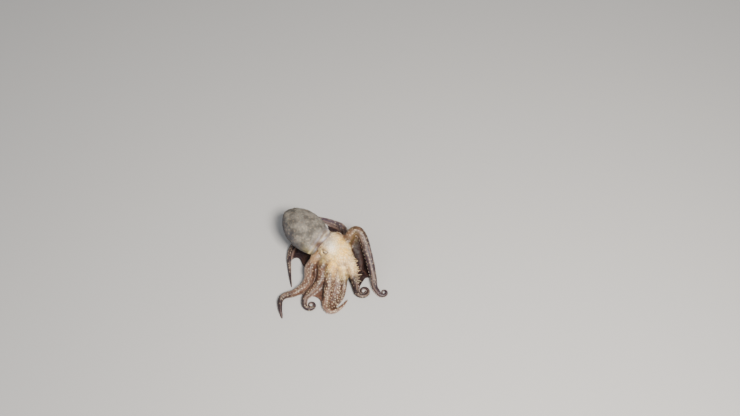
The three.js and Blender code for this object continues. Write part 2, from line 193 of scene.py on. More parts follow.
def spline(points, samples):
    """Smooth curve through points: in each span a cubic of the two points it joins and the two
    beyond them, with the list's ends mirrored outwards."""
    points = np.asarray(points, dtype=float)
    padded = np.vstack([2 * points[0] - points[1], points, 2 * points[-1] - points[-2]])
    places = np.linspace(0, len(points) - 1, (len(points) - 1) * samples + 1)
    span = np.minimum(places.astype(int), len(points) - 2)
    u = (places - span)[:, None]
    a, b, c, d = (padded[span + shift] for shift in range(4))
    return 0.5 * (2 * b + (c - a) * u + (2 * a - 5 * b + 4 * c - d) * u ** 2
                  + (3 * b - a - 3 * c + d) * u ** 3)


def running_length(points):
    """Length from the first point to each point."""
    steps = np.linalg.norm(np.diff(points, axis=0), axis=1)
    return np.concatenate([[0], np.cumsum(steps)])


def between(places, steps, values):
    """Rows of a table given at steps, read in a straight line between them."""
    return np.stack([np.interp(places, steps, column) for column in values.T], axis=-1)


def unit(vectors):
    """Vectors of length one."""
    return vectors / np.linalg.norm(vectors, axis=-1, keepdims=True)


def arm_line(route, base, end, turn, way, roll, taper=TAPER):
    """Middle line of an arm at even steps: places, radii and the frame there. The radius falls as a
    power of the length. A coil is a logarithmic spiral: its heading turns by the step over turn
    radii, and its radius falls evenly."""
    points = spline(route, ROUTE_SAMPLES)
    along = running_length(points)
    radius = end + (base - end) * (1 - along / along[-1]) ** taper
    if turn:
        share = COIL_CLEARANCE / turn
        pull = -np.log((1 - share) / (1 + share)) / (2 * np.pi)
        fall = pull / turn / np.hypot(1, pull)
        steps = np.arange(1, round((end - TIP_RADIUS) / fall / COIL_STEP) + 1)
        thickness = end - fall * COIL_STEP * steps
        last = points[-1] - points[-2]
        heading = np.arctan2(last[1], last[0]) + way * np.cumsum(COIL_STEP / (turn * thickness))
        moves = COIL_STEP * np.column_stack([np.cos(heading), np.sin(heading), 0 * heading])
        points = np.vstack([points, points[-1] + np.cumsum(moves, axis=0)])
        radius = np.concatenate([radius, thickness])
    reach = running_length(points)
    turned = np.radians(roll[0] + (roll[1] - roll[0]) * reach / reach[-1])
    ridge = 1 + SUCKER_RIDGE * np.maximum(0, np.cos(turned)) ** 3
    points[:, 2] = np.maximum(0, points[:, 2]) + radius * ridge * (1 - FLAT)
    along = running_length(points)
    even = np.linspace(0, along[-1], int(along[-1] / LINE_STEP) + 1)
    line = between(even, along, points)
    ahead = unit(np.gradient(line, axis=0))
    left = unit(np.cross([0, 0, 1.0], ahead))
    up = np.cross(ahead, left)
    turned = np.interp(even, along, turned)[:, None]
    return dict(points=line, along=even, radius=np.interp(even, along, radius), ahead=ahead,
                oral=left * np.sin(turned) - up * np.cos(turned),
                side=left * np.cos(turned) + up * np.sin(turned))


def frame_at(line, place):
    """Middle of a line at places between its points, and the ways ahead, to the suckers and to
    the side there."""
    steps = np.arange(len(line["points"]))
    return [between(place, steps, line[key]) for key in ("points", "ahead", "oral", "side")]


LINES = {name: arm_line(**arm) for name, arm in ARMS.items()}

# ---- Skin ----
# The octopus has one unbroken skin over its mantle, head, arms and the webs between them. It is
# worked out as a field of distances on an even grid, in which near forms flow into each other, and
# the skin is the surface where the field is zero.

GRID_STEP = 1.27
GRID_ROOM = 4.0
FAR = 60.0                       # distance where nothing is near
FLESH_FLOOR = 0.5                # height of the lowest flesh: under it are only suckers
FLOOR_BLEND = 1.0

HEADING = np.radians(-38.5)
FORWARD = np.array([np.cos(HEADING), np.sin(HEADING), 0.0])
LEFTWARD = np.array([-np.sin(HEADING), np.cos(HEADING), 0.0])
HEAD_MIDDLE = np.array([-3.0, 20.0, 42.0])
HEAD_SIZES = (27.0, 29.0, 17.5)
CROWN_MIDDLE = np.array([15.0, 3.0, 30.0])
CROWN_SIZES = (32.0, 28.0, 24.0)
CROWN_BLEND = 12.0
EYE_RADIUS = 6.5
EYE_LIFT = np.radians(35)
LID = 1.3                        # flesh over the eyeball
MOUND_RADIUS = 10.5              # the mound that an eye stands on
MOUND_DEPTH = 6.0                # how far its middle lies behind the eye's
MOUND_BLEND = 5.0                # from the eye to the mound
BROW_BLEND = 7.0                 # from the mound to the head
LID_OPENING = (6.2, 4.6)         # half sizes, level and upright
LID_DEPTH = (2.0, 12.0)          # where the opening starts and ends, from the eye's middle
MANTLE_AXIS = [(-27, 23.5, 47), (-37, 31, 52), (-48, 40, 55), (-56, 49, 55)]
MANTLE_HALF_WIDTH = [32, 38, 40.5, 40]
MANTLE_HALF_HEIGHT = [25, 31, 33.5, 33]
MANTLE_CAPS = (6.0, 59.0)
MANTLE_CAP_POWER = 1.7           # under 2, the end is a little pointed
MANTLE_REACH = 14.0              # how far out of a form its field is worked out
NECK_BLEND = (1.5, 9.0)          # below, and how much more on the back
NECK_HEIGHTS = (44.0, 58.0)      # where the one goes over into the other
FUNNEL_AXIS = [(-22, 2, 35), (-31, -6, 32), (-37, -13, 27)]
FUNNEL_RADIUS = [9, 9.5, 7.5]
FUNNEL_CAPS = (1.0, 3.0)
FUNNEL_REACH = 8.0
FUNNEL_BLEND = 2.5
ARM_FIT = 0.97                   # flesh radius over the solid's, room for the skin's relief
ARM_REACH = 9.0
ORAL_FLAT = 0.12                 # how much flatter the suckered side is than a circle
ORAL_SPREAD = 0.7                # and how far round it is so, in radians
ARM_BLEND_NEAR = 9.0
ARM_BLEND_FAR = 0.8
ARMS_PART = (26, 70)             # distances from the crown between which the arms part

solid_boxes = np.array([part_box(name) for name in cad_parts])
room_low = solid_boxes[:, 0].min(0) / MM - OFFSET
room_high = solid_boxes[:, 1].max(0) / MM - OFFSET
grid_low = room_low - GRID_ROOM
grid_high = room_high + GRID_ROOM
grid_axes = [np.arange(low, high, GRID_STEP, dtype=np.float32)
             for low, high in zip(grid_low, grid_high)]
grid_shape = tuple(len(axis) for axis in grid_axes)
everywhere = np.meshgrid(*grid_axes, indexing="ij", sparse=True)


def grid_block(low, high):
    """Slices of the grid that hold a box, and the places of their points."""
    slices = []
    for axis in range(3):
        start = int(np.clip((low[axis] - grid_low[axis]) // GRID_STEP, 0, grid_shape[axis]))
        stop = int(np.clip((high[axis] - grid_low[axis]) // GRID_STEP + 2, start,
                           grid_shape[axis]))
        slices.append(slice(start, stop))
    places = np.meshgrid(*(grid_axes[axis][slices[axis]] for axis in range(3)),
                         indexing="ij", sparse=True)
    return tuple(slices), places


def smooth_min(a, b, blend):
    """Smaller of two distances, with a round fillet where they are nearly alike."""
    share = np.clip(0.5 + 0.5 * (b - a) / blend, 0, 1)
    return b + (a - b) * share - blend * share * (1 - share)


def smooth_step(value, low, high):
    """0 below low, 1 above high, and a smooth rise between."""
    share = np.clip((value - low) / (high - low), 0, 1)
    return share * share * (3 - 2 * share)


def bell(value, middle, width):
    """Bell curve: the exponential of minus the square of the distance from its middle."""
    return np.exp(-((value - middle) / width) ** 2)


def sweep_field(line, radius, section, reach, caps=(1.0, 1.0), power=2.0):
    """Distance from a body swept along a line: how far a point lies from the nearest place on the
    line, less the body's half size there in that direction. section gives that half size from the
    place along the line and the angle round it."""
    field = np.full(grid_shape, FAR, dtype=np.float32)
    nearest = field.copy()
    where = np.zeros(grid_shape, dtype=np.float32)
    points = line["points"]
    for index in range(len(points) - 1):
        a, b = points[index], points[index + 1]
        room = radius[index] + reach
        block, (x, y, z) = grid_block(np.minimum(a, b) - room, np.maximum(a, b) + room)
        step = b - a
        length = step @ step
        share = ((x - a[0]) * step[0] + (y - a[1]) * step[1] + (z - a[2]) * step[2]) / length
        share = np.clip(share, 0, 1).astype(np.float32)
        gap = np.sqrt((x - a[0] - share * step[0]) ** 2 + (y - a[1] - share * step[1]) ** 2
                      + (z - a[2] - share * step[2]) ** 2)
        gap -= radius[index] + share * (radius[index + 1] - radius[index])
        closer = gap < nearest[block]
        nearest[block] = np.where(closer, gap, nearest[block])
        where[block] = np.where(closer, index + share, where[block])
    cells = np.nonzero(nearest < FAR)
    place = where[cells]
    offsets = np.column_stack([grid_axes[axis][cells[axis]] for axis in range(3)])
    middle, ahead, oral, beside = frame_at(line, place)
    offsets = offsets - middle
    down = (offsets * oral).sum(1)
    aside = (offsets * beside).sum(1)
    along = (offsets * ahead).sum(1)
    size = section(place, np.arctan2(aside, down))
    stretch = np.where(place <= 0, size / caps[0] if caps[0] > 1 else 1.0, 1.0)
    stretch = np.where(place >= len(points) - 1.001, size / caps[1] if caps[1] > 1 else 1.0,
                       stretch)
    around = np.sqrt(down ** 2 + aside ** 2)
    field[cells] = (around ** power + np.abs(along * stretch) ** power) ** (1 / power) - size
    return field


def places_from(middle, ways):
    """The grid's places, measured from a middle along three ways."""
    x, y, z = (everywhere[axis] - middle[axis] for axis in range(3))
    return [x * way[0] + y * way[1] + z * way[2] for way in ways]


def ellipsoid_field(middle, sizes):
    """Near distance from an ellipsoid: with q the place over the half sizes, |q| (|q| - 1) over
    the length of q over the half sizes."""
    local = places_from(middle, (FORWARD, LEFTWARD, np.cross(FORWARD, LEFTWARD)))
    near = sum((value / size) ** 2 for value, size in zip(local, sizes)) ** 0.5
    slope = sum((value / size ** 2) ** 2 for value, size in zip(local, sizes)) ** 0.5
    return near * (near - 1) / np.maximum(slope, 1e-6)


def sac_line(axis, width, height):
    """Middle line of a sac with its frame and half sizes, at even steps."""
    points = spline(axis, ROUTE_SAMPLES)
    ahead = unit(np.gradient(points, axis=0))
    left = unit(np.cross([0, 0, 1.0], ahead))
    down = -np.cross(ahead, left)
    sizes = [spline(np.column_stack([np.arange(len(axis)), values, 0 * np.array(values)]),
                    ROUTE_SAMPLES)[:, 1] for values in (width, height)]
    return dict(points=points, ahead=ahead, oral=down, side=left), sizes


def ball_field(middle, radius):
    """Distance from a ball: from its middle, less its radius."""
    x, y, z = (everywhere[axis] - middle[axis] for axis in range(3))
    return np.sqrt(x ** 2 + y ** 2 + z ** 2) - radius


# Head and crown: two low domes, with the eyes in mounds on the head's sides.
body = ellipsoid_field(HEAD_MIDDLE, HEAD_SIZES).astype(np.float32)
crown = ellipsoid_field(CROWN_MIDDLE, CROWN_SIZES).astype(np.float32)
body = smooth_min(body, crown, CROWN_BLEND)
head_crown = body
EYE_LOOKS = {}
for eye, bearing in (("right", HEADING - np.pi / 2), ("left", HEADING + np.pi / 2)):
    look = np.array([np.cos(bearing) * np.cos(EYE_LIFT), np.sin(bearing) * np.cos(EYE_LIFT),
                     np.sin(EYE_LIFT)])
    EYE_LOOKS[eye] = look
    ball = ball_field(EYE_PLACES[eye], EYE_RADIUS) - LID
    mound = ball_field(EYE_PLACES[eye] - MOUND_DEPTH * look, MOUND_RADIUS)
    body = smooth_min(body, smooth_min(ball, mound, MOUND_BLEND), BROW_BLEND)

# Mantle: a sac that hangs behind the head. Its back flows into the head, and a crease parts them
# lower down.
mantle_line, (mantle_width, mantle_height) = sac_line(
    MANTLE_AXIS, MANTLE_HALF_WIDTH, MANTLE_HALF_HEIGHT)
mantle_steps = np.arange(len(mantle_width))


def mantle_section(place, angle):
    """Half size of the mantle: an ellipse of its half width and half height."""
    width = np.interp(place, mantle_steps, mantle_width)
    height = np.interp(place, mantle_steps, mantle_height)
    return 1 / np.sqrt((np.sin(angle) / width) ** 2 + (np.cos(angle) / height) ** 2)


mantle = sweep_field(mantle_line, (mantle_width + mantle_height) / 2, mantle_section,
                     MANTLE_REACH, MANTLE_CAPS, MANTLE_CAP_POWER)
dorsal = smooth_step(everywhere[2], *NECK_HEIGHTS)
body = smooth_min(body, mantle, NECK_BLEND[0] + NECK_BLEND[1] * dorsal)

# Funnel: a short muscular tube under the neck. Its mouth is shut against the right arm.
funnel_line, (funnel_width, _) = sac_line(FUNNEL_AXIS, FUNNEL_RADIUS, FUNNEL_RADIUS)
funnel_steps = np.arange(len(funnel_width))
funnel = sweep_field(funnel_line, funnel_width,
                     lambda place, angle: np.interp(place, funnel_steps, funnel_width),
                     FUNNEL_REACH, FUNNEL_CAPS)
body = smooth_min(body, funnel, FUNNEL_BLEND)

# Arms: they leave the crown as one mass, and part from each other a little way out.
from_crown = np.sqrt((everywhere[0] - CROWN_MIDDLE[0]) ** 2
                     + (everywhere[1] - CROWN_MIDDLE[1]) ** 2)
arm_blend = ARM_BLEND_FAR + (ARM_BLEND_NEAR - ARM_BLEND_FAR) * (
    1 - smooth_step(from_crown, *ARMS_PART))


def arm_size(radius, angle):
    """Half size of an arm: a circle, flatter by a bell curve of the angle on the suckered side."""
    return radius * ARM_FIT * (1 - ORAL_FLAT * bell(angle, 0, ORAL_SPREAD))


for line in LINES.values():
    steps = np.arange(len(line["radius"]))
    arm = sweep_field(
        line, line["radius"] * ARM_FIT,
        lambda place, angle: arm_size(np.interp(place, steps, line["radius"]), angle), ARM_REACH)
    body = smooth_min(body, arm, arm_blend)

# Webs: thin sheets of skin from arm to arm, deepest between the raised arms.
WEB_LOW = 0.35                   # how far under an arm's middle a web joins it, in radii
WEBS = {
    "front": dict(arms=("right_1", "left_1"), ends=(50, 64), bow=0.2, sag=1, low=0, root=4.5),
    "left_1_2": dict(arms=("left_1", "left_2"), ends=(98, 158), bow=0.15, sag=22),
    "left_2_3": dict(arms=("left_2", "left_3"), ends=(54, 84), bow=0.2, sag=8),
    "left_3_4": dict(arms=("left_3", "left_4"), ends=(112, 96), bow=0.3, sag=6),
    "back": dict(arms=("left_4", "right_4"), ends=(148, 68), bow=0.3, sag=4),
    "right_3_4": dict(arms=("right_4", "right_3"), ends=(140, 96), bow=0.15, sag=3),
    "right_2_3": dict(arms=("right_3", "right_2"), ends=(92, 102), bow=0.12, sag=5),
    "right_1_2": dict(arms=("right_2", "right_1"), ends=(136, 92), bow=0.12, sag=3, low=0,
                      root=4.5),
}
WEB_HALF = 1.15                  # half thickness at the free edge
WEB_HALF_ROOT = 2.2              # and at the crown
WEB_THINS = (0.2, 0.8)           # shares of the way out between which it thins
WEB_SLACK = 1.6                  # how fast the sag grows from the crown
WEB_LIFT = 0.3                   # gap under a web that lies low
WEB_SAMPLE = 0.8                 # spacing of the sheet's sample points
WEB_REACH = 6                    # grid steps round a sample that hear of it
WEB_BLEND = 4.0


def web_sheet(arms, ends, bow, sag, low=WEB_LOW, root=WEB_HALF_ROOT):
    """Places on a web and its half thickness: straight lines from arm to arm, hanging by a
    parabola, with the free edge cut in by a parabola."""
    lines = [LINES[name] for name in arms]
    rows = int(max(ends) / WEB_SAMPLE)
    tips = [between(end, line["along"], line["points"]) for line, end in zip(lines, ends)]
    columns = int(np.linalg.norm(tips[0] - tips[1]) / WEB_SAMPLE) + 2
    out, across_web = np.meshgrid(np.linspace(0, 1, rows), np.linspace(0, 1, columns),
                                  indexing="ij")
    hump = 4 * across_web * (1 - across_web)
    reach = out * (1 - bow * hump * out)
    sides = []
    for line, end in zip(lines, ends):
        place = reach * end
        side = between(place, line["along"], line["points"])
        side[..., 2] -= low * np.interp(place, line["along"], line["radius"])
        sides.append(side)
    sheet = sides[0] + (sides[1] - sides[0]) * across_web[..., None]
    sheet[..., 2] -= sag * hump * np.minimum(1, reach * WEB_SLACK)
    half = root + (WEB_HALF - root) * smooth_step(reach, *WEB_THINS)
    sheet[..., 2] = np.maximum(sheet[..., 2], FLESH_FLOOR + half + WEB_LIFT)
    return sheet.reshape(-1, 3), half.ravel()


web = np.full(int(np.prod(grid_shape)), FAR, dtype=np.float32)
steps_out = np.arange(-WEB_REACH, WEB_REACH + 1)
moves = np.stack(np.meshgrid(steps_out, steps_out, steps_out, indexing="ij"), -1).reshape(-1, 3)
moves = moves[(moves ** 2).sum(1) <= WEB_REACH ** 2]
for settings in WEBS.values():
    places, half = web_sheet(**settings)
    cell = np.round((places - grid_low) / GRID_STEP).astype(int)
    remainder = cell * GRID_STEP + grid_low - places
    flat_cell = np.ravel_multi_index(tuple(cell.T), grid_shape)
    for move in moves:
        gap = np.linalg.norm(remainder + move * GRID_STEP, axis=1) - half
        shift = (move[0] * grid_shape[1] + move[1]) * grid_shape[2] + move[2]
        np.minimum.at(web, flat_cell + shift, gap.astype(np.float32))
web = web.reshape(grid_shape)
body = smooth_min(body, web, WEB_BLEND)

# The eyes look out through a slit between their lids.
EYE_FRAMES = {}
for eye, look in EYE_LOOKS.items():
    level = unit(np.cross([0, 0, 1.0], look))
    upright = np.cross(look, level)
    EYE_FRAMES[eye] = (level, upright)
    a, b, c = places_from(EYE_PLACES[eye], (level, upright, look))
    slit = (np.sqrt((a / LID_OPENING[0]) ** 2 + (b / LID_OPENING[1]) ** 2) - 1) * LID_OPENING[1]
    slit = np.maximum(slit, np.maximum(LID_DEPTH[0] - c, c - LID_DEPTH[1]))
    body = np.maximum(body, -slit)

# Nothing reaches the floor but the suckers.
body = -smooth_min(-body, everywhere[2] - FLESH_FLOOR, FLOOR_BLEND)


def surface_net(field):
    """Surface where a field is zero. Each grid cell that it crosses gets one point, the mean of
    where it cuts the cell's edges, and each cut edge gets the square of its four cells, turned
    outwards."""
    inside = field < 0
    cells, marks, squares = [], [], []
    for axis in range(3):
        low = [slice(None)] * 3
        high = [slice(None)] * 3
        low[axis] = slice(0, -1)
        high[axis] = slice(1, None)
        cut = np.nonzero(inside[tuple(low)] != inside[tuple(high)])
        first = np.array(cut).T
        second = first.copy()
        second[:, axis] += 1
        near = field[tuple(first.T)]
        far = field[tuple(second.T)]
        mark = first.astype(np.float64)
        mark[:, axis] += near / (near - far)
        one, two = (axis + 1) % 3, (axis + 2) % 3
        corners = []
        for shift in ((0, 0), (1, 0), (1, 1), (0, 1)):
            cell = first.copy()
            cell[:, one] -= shift[0]
            cell[:, two] -= shift[1]
            corners.append(np.ravel_multi_index(tuple(cell.T), field.shape))
            cells.append(corners[-1])
            marks.append(mark)
        square = np.column_stack(corners)
        squares.append(np.where((near < 0)[:, None], square[:, [3, 0, 1, 2]],
                                square[:, [0, 3, 2, 1]]))
    cells = np.concatenate(cells)
    marks = np.concatenate(marks)
    used, index = np.unique(cells, return_inverse=True)
    count = np.bincount(index)
    points = np.column_stack([np.bincount(index, marks[:, axis]) / count for axis in range(3)])
    faces = np.searchsorted(used, np.concatenate(squares))
    return points, faces


def field_at(field, points):
    """Value and slope of a field at places given in grid steps, from the eight corners around."""
    corner = np.clip(points.astype(int), 0, np.array(field.shape) - 2)
    u, v, w = (points - corner).T
    i, j, k = corner.T
    c = {(a, b, d): field[i + a, j + b, k + d] for a in (0, 1) for b in (0, 1) for d in (0, 1)}
    along_u = {(b, d): c[0, b, d] * (1 - u) + c[1, b, d] * u for b in (0, 1) for d in (0, 1)}
    along_v = {d: along_u[0, d] * (1 - v) + along_u[1, d] * v for d in (0, 1)}
    value = along_v[0] * (1 - w) + along_v[1] * w
    slope_u = sum((c[1, b, d] - c[0, b, d]) * (v if b else 1 - v) * (w if d else 1 - w)
                  for b in (0, 1) for d in (0, 1))
    slope_v = sum((along_u[1, d] - along_u[0, d]) * (w if d else 1 - w) for d in (0, 1))
    return value, np.column_stack([slope_u, slope_v, along_v[1] - along_v[0]])


def edges_of(faces):
    """Pairs of neighbouring corners, each pair once."""
    pairs = np.vstack([faces[:, [a, (a + 1) % 4]] for a in range(4)])
    return np.unique(np.sort(pairs, axis=1), axis=0)


def relaxed(points, edges, share):
    """Points moved by a share towards the mean of their neighbours."""
    degree = np.bincount(edges.ravel(), minlength=len(points))[:, None]
    both = np.concatenate([edges[:, 0], edges[:, 1]])
    other = points[np.concatenate([edges[:, 1], edges[:, 0]])]
    total = np.column_stack([np.bincount(both, other[:, axis], minlength=len(points))
                             for axis in range(3)])
    return points + share * (total / degree - points)


NET_ROUNDS = 4                   # times that the net is smoothed and drawn back to the surface
NET_SHARE = 0.6
NET_SLOPE = 0.2                  # least squared slope, so that no point is drawn too far
skin_points, skin_faces = surface_net(body)
skin_edges = edges_of(skin_faces)
for _ in range(NET_ROUNDS):
    skin_points = relaxed(skin_points, skin_edges, NET_SHARE)
    for _ in range(2):
        value, slope = field_at(body, skin_points)
        push = value / np.maximum((slope ** 2).sum(1), NET_SLOPE)
        skin_points -= np.clip(push, -1, 1)[:, None] * slope
skin_points = skin_points * GRID_STEP + grid_low

# The skin's relief and markings are functions of place: which form a point lies on, how far along
# its arm and how far round it.
CHUNK = 20000                    # points that are worked on at a time
NOISE_CELLS = 64                 # cubes on a side before the noise repeats


def nearest_on(line, points):
    """Index of the nearest place on a line to each point, and the distance."""
    places = line["points"]
    index = np.empty(len(points), dtype=int)
    gap = np.empty(len(points))
    for start in range(0, len(points), CHUNK):
        part = points[start:start + CHUNK]
        square = ((part ** 2).sum(1)[:, None] - 2 * part @ places.T + (places ** 2).sum(1))
        index[start:start + CHUNK] = square.argmin(1)
        gap[start:start + CHUNK] = np.sqrt(np.maximum(square.min(1), 0))
    return index, gap


def lattice_noise(points, size, seed):
    """Smooth noise from -1 to 1: random values at the corners of cubes of a given size, mixed in
    each cube by a smooth step of the place in it."""
    table = np.random.default_rng(seed).uniform(-1, 1, (NOISE_CELLS,) * 3)
    scaled = points / size + 4 * NOISE_CELLS
    cell = np.floor(scaled).astype(int)
    u, v, w = smooth_step(scaled - cell, 0, 1).T
    total = 0
    for a, b, c in np.ndindex(2, 2, 2):
        share = (u if a else 1 - u) * (v if b else 1 - v) * (w if c else 1 - w)
        total = total + share * table[tuple(((cell + (a, b, c)) % NOISE_CELLS).T)]
    return total


def grid_value(field, points):
    """A field's value at places in mm."""
    return field_at(field, (points - grid_low) / GRID_STEP)[0]


skin_out = unit(field_at(body, (skin_points - grid_low) / GRID_STEP)[1] + 1e-9)
arm_names = list(LINES)
arm_gaps = np.empty((len(arm_names), len(skin_points)))
arm_places = np.empty((len(arm_names), len(skin_points)), dtype=int)
for row, line in enumerate(LINES.values()):
    arm_places[row], gap = nearest_on(line, skin_points)
    arm_gaps[row] = gap - line["radius"][arm_places[row]]
arm_of = arm_gaps.argmin(0)
arm_gap = arm_gaps.min(0)
arm_index = arm_places[arm_of, np.arange(len(skin_points))]


def on_nearest_arm(key):
    """What the nearest arm's line holds at its nearest place, for each of the skin's points."""
    tables = [line[key] for line in LINES.values()]
    out = np.empty((len(skin_points),) + tables[0].shape[1:])
    for row, table in enumerate(tables):
        mine = arm_of == row
        out[mine] = table[arm_index[mine]]
    return out


arm_length = on_nearest_arm("along")
arm_radius = on_nearest_arm("radius")
from_line = skin_points - on_nearest_arm("points")
arm_angle = np.arctan2((from_line * on_nearest_arm("side")).sum(1),
                       (from_line * on_nearest_arm("oral")).sum(1))


def belongs(gap, near, far):
    """How much of the skin belongs to a form: all of it within near, none of it past far."""
    return 1 - smooth_step(gap, near, far)


web_gap = grid_value(web, skin_points)
on_arm = belongs(arm_gap, near=0.6, far=4.0)
on_mantle = belongs(grid_value(mantle, skin_points), near=0.5, far=6.0)
on_web = belongs(web_gap, near=1.0, far=6.0) * (1 - on_arm)
on_head = belongs(grid_value(head_crown, skin_points), near=0.5, far=7.0) * (1 - on_mantle)

BUMP_FALL = 1.8                  # how steeply a bump falls away
BUMP_REACH = 2.6                 # how far out it is worked out, over its width
rng = np.random.default_rng(11)


def scatter(odds, count, apart):
    """Skin points picked by chance with given odds, none nearer to another than a distance."""
    chosen = rng.choice(len(skin_points), 4 * count, replace=False, p=odds / odds.sum())
    kept = []
    for index in chosen:
        gaps = np.linalg.norm(skin_points[kept] - skin_points[index], axis=1)
        if len(kept) < count and (not kept or gaps.min() > apart):
            kept.append(index)
    return kept


def cones(chosen, width, height, sharpness):
    """Relief and mask of round bumps: each falls as the exponential of a power of the distance."""
    bumps = np.zeros(len(skin_points))
    mask = np.zeros(len(skin_points))
    for index in chosen:
        wide = rng.uniform(*width)
        tall = rng.uniform(*height)
        near = np.abs(skin_points - skin_points[index]).max(1) < BUMP_REACH * wide
        gap = np.linalg.norm(skin_points[near] - skin_points[index], axis=1) / wide
        cone = np.exp(-BUMP_FALL * gap ** sharpness)
        bumps[near] = np.maximum(bumps[near], tall * cone)
        mask[near] = np.maximum(mask[near], cone)
    return bumps, mask


def patches(table):
    """Round patches that fade outwards, each given by its strength, middle and size."""
    return sum(strength * np.exp(-((skin_points - middle) ** 2).sum(1) / size ** 2)
               for strength, middle, size in table)


def turned_to(way, low, high):
    """How far the skin faces a way: a smooth step of the product of the two directions."""
    return smooth_step(skin_out @ np.array(way), low, high)


def on(name, low=0.0, high=1e3):
    """Which skin points lie on one arm, between two lengths along it."""
    mine = (arm_of == arm_names.index(name)) & (arm_length > low) & (arm_length < high)
    return mine & (arm_gap < 1.2)


# Papillae: little cones of skin, that the animal can raise. They stand thickest on the mantle's
# back, round the eyes and along the outer side of the front left arm, where they are longest.
BACK_ANGLE = 1.7                 # where an arm's back starts, radians from its suckered side
FRINGE_WAY = np.array([0.85, 0.25, 0.3])
PAD_SIDES = (-2, 34)             # where the two front right arms make one pad
PAD_START = -45
upper_side = turned_to((0, 0, 1.0), -0.1, 0.5)
back_of_arm = np.abs(arm_angle) > BACK_ANGLE
fringe = on("left_1", 6, 74) & (skin_out @ FRINGE_WAY > 0.5)
ruff = on("left_1", 10, 60) * turned_to((0.6, -0.2, 0.75), 0.4, 0.8)
webbed = web_gap < 1.0
pad = (webbed & (skin_points[:, 0] > PAD_SIDES[0]) & (skin_points[:, 0] < PAD_SIDES[1])
       & (skin_points[:, 1] < PAD_START) & (skin_out[:, 2] > 0.4))
relief = np.zeros(len(skin_points))
papilla_tops = np.zeros(len(skin_points))
for odds, count, apart, width, height, sharpness in (
        (on_mantle * upper_side, 120, 4.0, (1.4, 2.6), (0.3, 0.9), 1.6),
        (on_mantle * upper_side, 14, 9.0, (1.8, 2.4), (1.2, 2.2), 1.3),
        (on_head * upper_side, 130, 2.6, (1.2, 2.0), (0.3, 1.2), 1.5),
        (ruff, 60, 2.4, (1.2, 1.7), (0.6, 2.0), 1.3),
        (fringe * 1.0, 70, 2.0, (1.2, 1.8), (2.0, 5.4), 1.2),
        (back_of_arm * (arm_gap < 1) * (arm_length > 22) * (arm_radius > 3.4), 240, 3.2,
         (1.0, 1.7), (0.2, 0.6), 1.8)):
    bumps, tops = cones(scatter(odds * 1.0, count, apart), width, height, sharpness)
    relief = np.maximum(relief, bumps)
    papilla_tops = np.maximum(papilla_tops, tops)

# Pale spots: many on the front right arms and the web between them, few elsewhere.
SPOT_HEIGHT = (0.25, 0.5)
SPOT_SHARPNESS = 2.4
TOP_BAND = (0.45, 0.4)           # radians from the top of an arm, and how wide
spot_mask = np.zeros(len(skin_points))
top_rows = back_of_arm * bell(np.pi - np.abs(arm_angle), *TOP_BAND)
for odds, count, apart, width in (
        (on("right_2", 30) * back_of_arm + pad * 1.0, 95, 3.6, (0.9, 1.9)),
        (on_head * upper_side * (skin_points[:, 1] < -14) + on("right_2", 4, 30), 26, 5.0,
         (1.0, 1.9)),
        (on("right_1", 34) * back_of_arm, 26, 3.6, (0.8, 1.5)),
        (on("right_3", 20) * top_rows, 34, 4.4, (0.9, 1.6)),
        (on("right_4", 16, 150) * top_rows, 34, 5.0, (0.8, 1.4)),
        (on("left_2", 16, 190) * top_rows, 26, 6.0, (0.8, 1.4)),
        (on("left_3", 20, 170) * top_rows, 16, 7.0, (0.7, 1.2)),
        (on("left_4", 30, 190) * top_rows, 14, 8.0, (0.7, 1.1)),
        (on("left_1", 66) * top_rows, 10, 6.0, (0.8, 1.2))):
    bumps, tops = cones(scatter(odds * 1.0, count, apart), width, SPOT_HEIGHT, SPOT_SHARPNESS)
    relief += bumps
    spot_mask = np.maximum(spot_mask, tops)

# Soft lumps and folds: broad on the mantle, wrinkles along the neck's ring, wrinkles that run out
# over the crown and along the arms, ripples in the webs.
NECK_BAND = (-4.0, 8.0)          # middle and width, behind the mantle's front
RIM_HIGHLIGHT_BAND = (-3.5, 2.2)
FOLD_STRETCH = 1.8               # folds are finer along the mantle than across it
RAY_TURN = 8.0                   # steps of noise for each radian round the crown
RAY_LENGTH = 14.0
RAY_HEIGHT = 30.0
STRIPE_TURN = 2.4                # and for each radian round an arm
STRIPE_LENGTH = 26.0
STRIPE_SHIFT = 9.0               # from arm to arm, so that no two are alike
RIPPLE_RATE = 0.5                # radians of a ripple for each mm along an arm
RIPPLE_WAVER = 3
ASH_PATCHES = ((1.0, (-3, 20, 60), 13), (1.0, (-9, 10, 58), 7))
soft = lattice_noise(skin_points, size=17.0, seed=1)
knobs = lattice_noise(skin_points, size=6.5, seed=2)
grain = lattice_noise(skin_points, size=3.0, seed=3)
neck_way = mantle_line["ahead"][0]
behind_rim = (skin_points - mantle_line["points"][0]) @ neck_way
neck = bell(behind_rim, *NECK_BAND) * np.maximum(on_mantle, on_head) * upper_side
stretched = skin_points + FOLD_STRETCH * np.outer(skin_points @ neck_way, neck_way)
folds = np.clip(1.6 * lattice_noise(stretched, size=12.0, seed=4), -1, 1)
ash = on_head * np.clip(patches(ASH_PATCHES), 0, 1)
# Painted highlight: a pale band along the mantle's front rim, weaker on its top.
rim_highlight = on_mantle * bell(behind_rim, *RIM_HIGHLIGHT_BAND) * (1 - upper_side * 0.6)
from_middle = skin_points - CROWN_MIDDLE
ahead_of, left_of = from_middle @ FORWARD, from_middle @ LEFTWARD
from_axis = np.hypot(ahead_of, left_of)
round_crown = np.column_stack([RAY_TURN * np.arctan2(left_of, ahead_of),
                               from_axis / RAY_LENGTH, skin_points[:, 2] / RAY_HEIGHT])
rays = lattice_noise(round_crown, size=1.0, seed=5) * on_head * smooth_step(from_axis, 8.0, 24.0)
down_arm = np.column_stack([arm_angle * STRIPE_TURN, arm_length / STRIPE_LENGTH,
                            arm_of * STRIPE_SHIFT])
stripes = lattice_noise(down_arm, size=1.0, seed=6)
ripples = np.sin(arm_length * RIPPLE_RATE + RIPPLE_WAVER * soft)
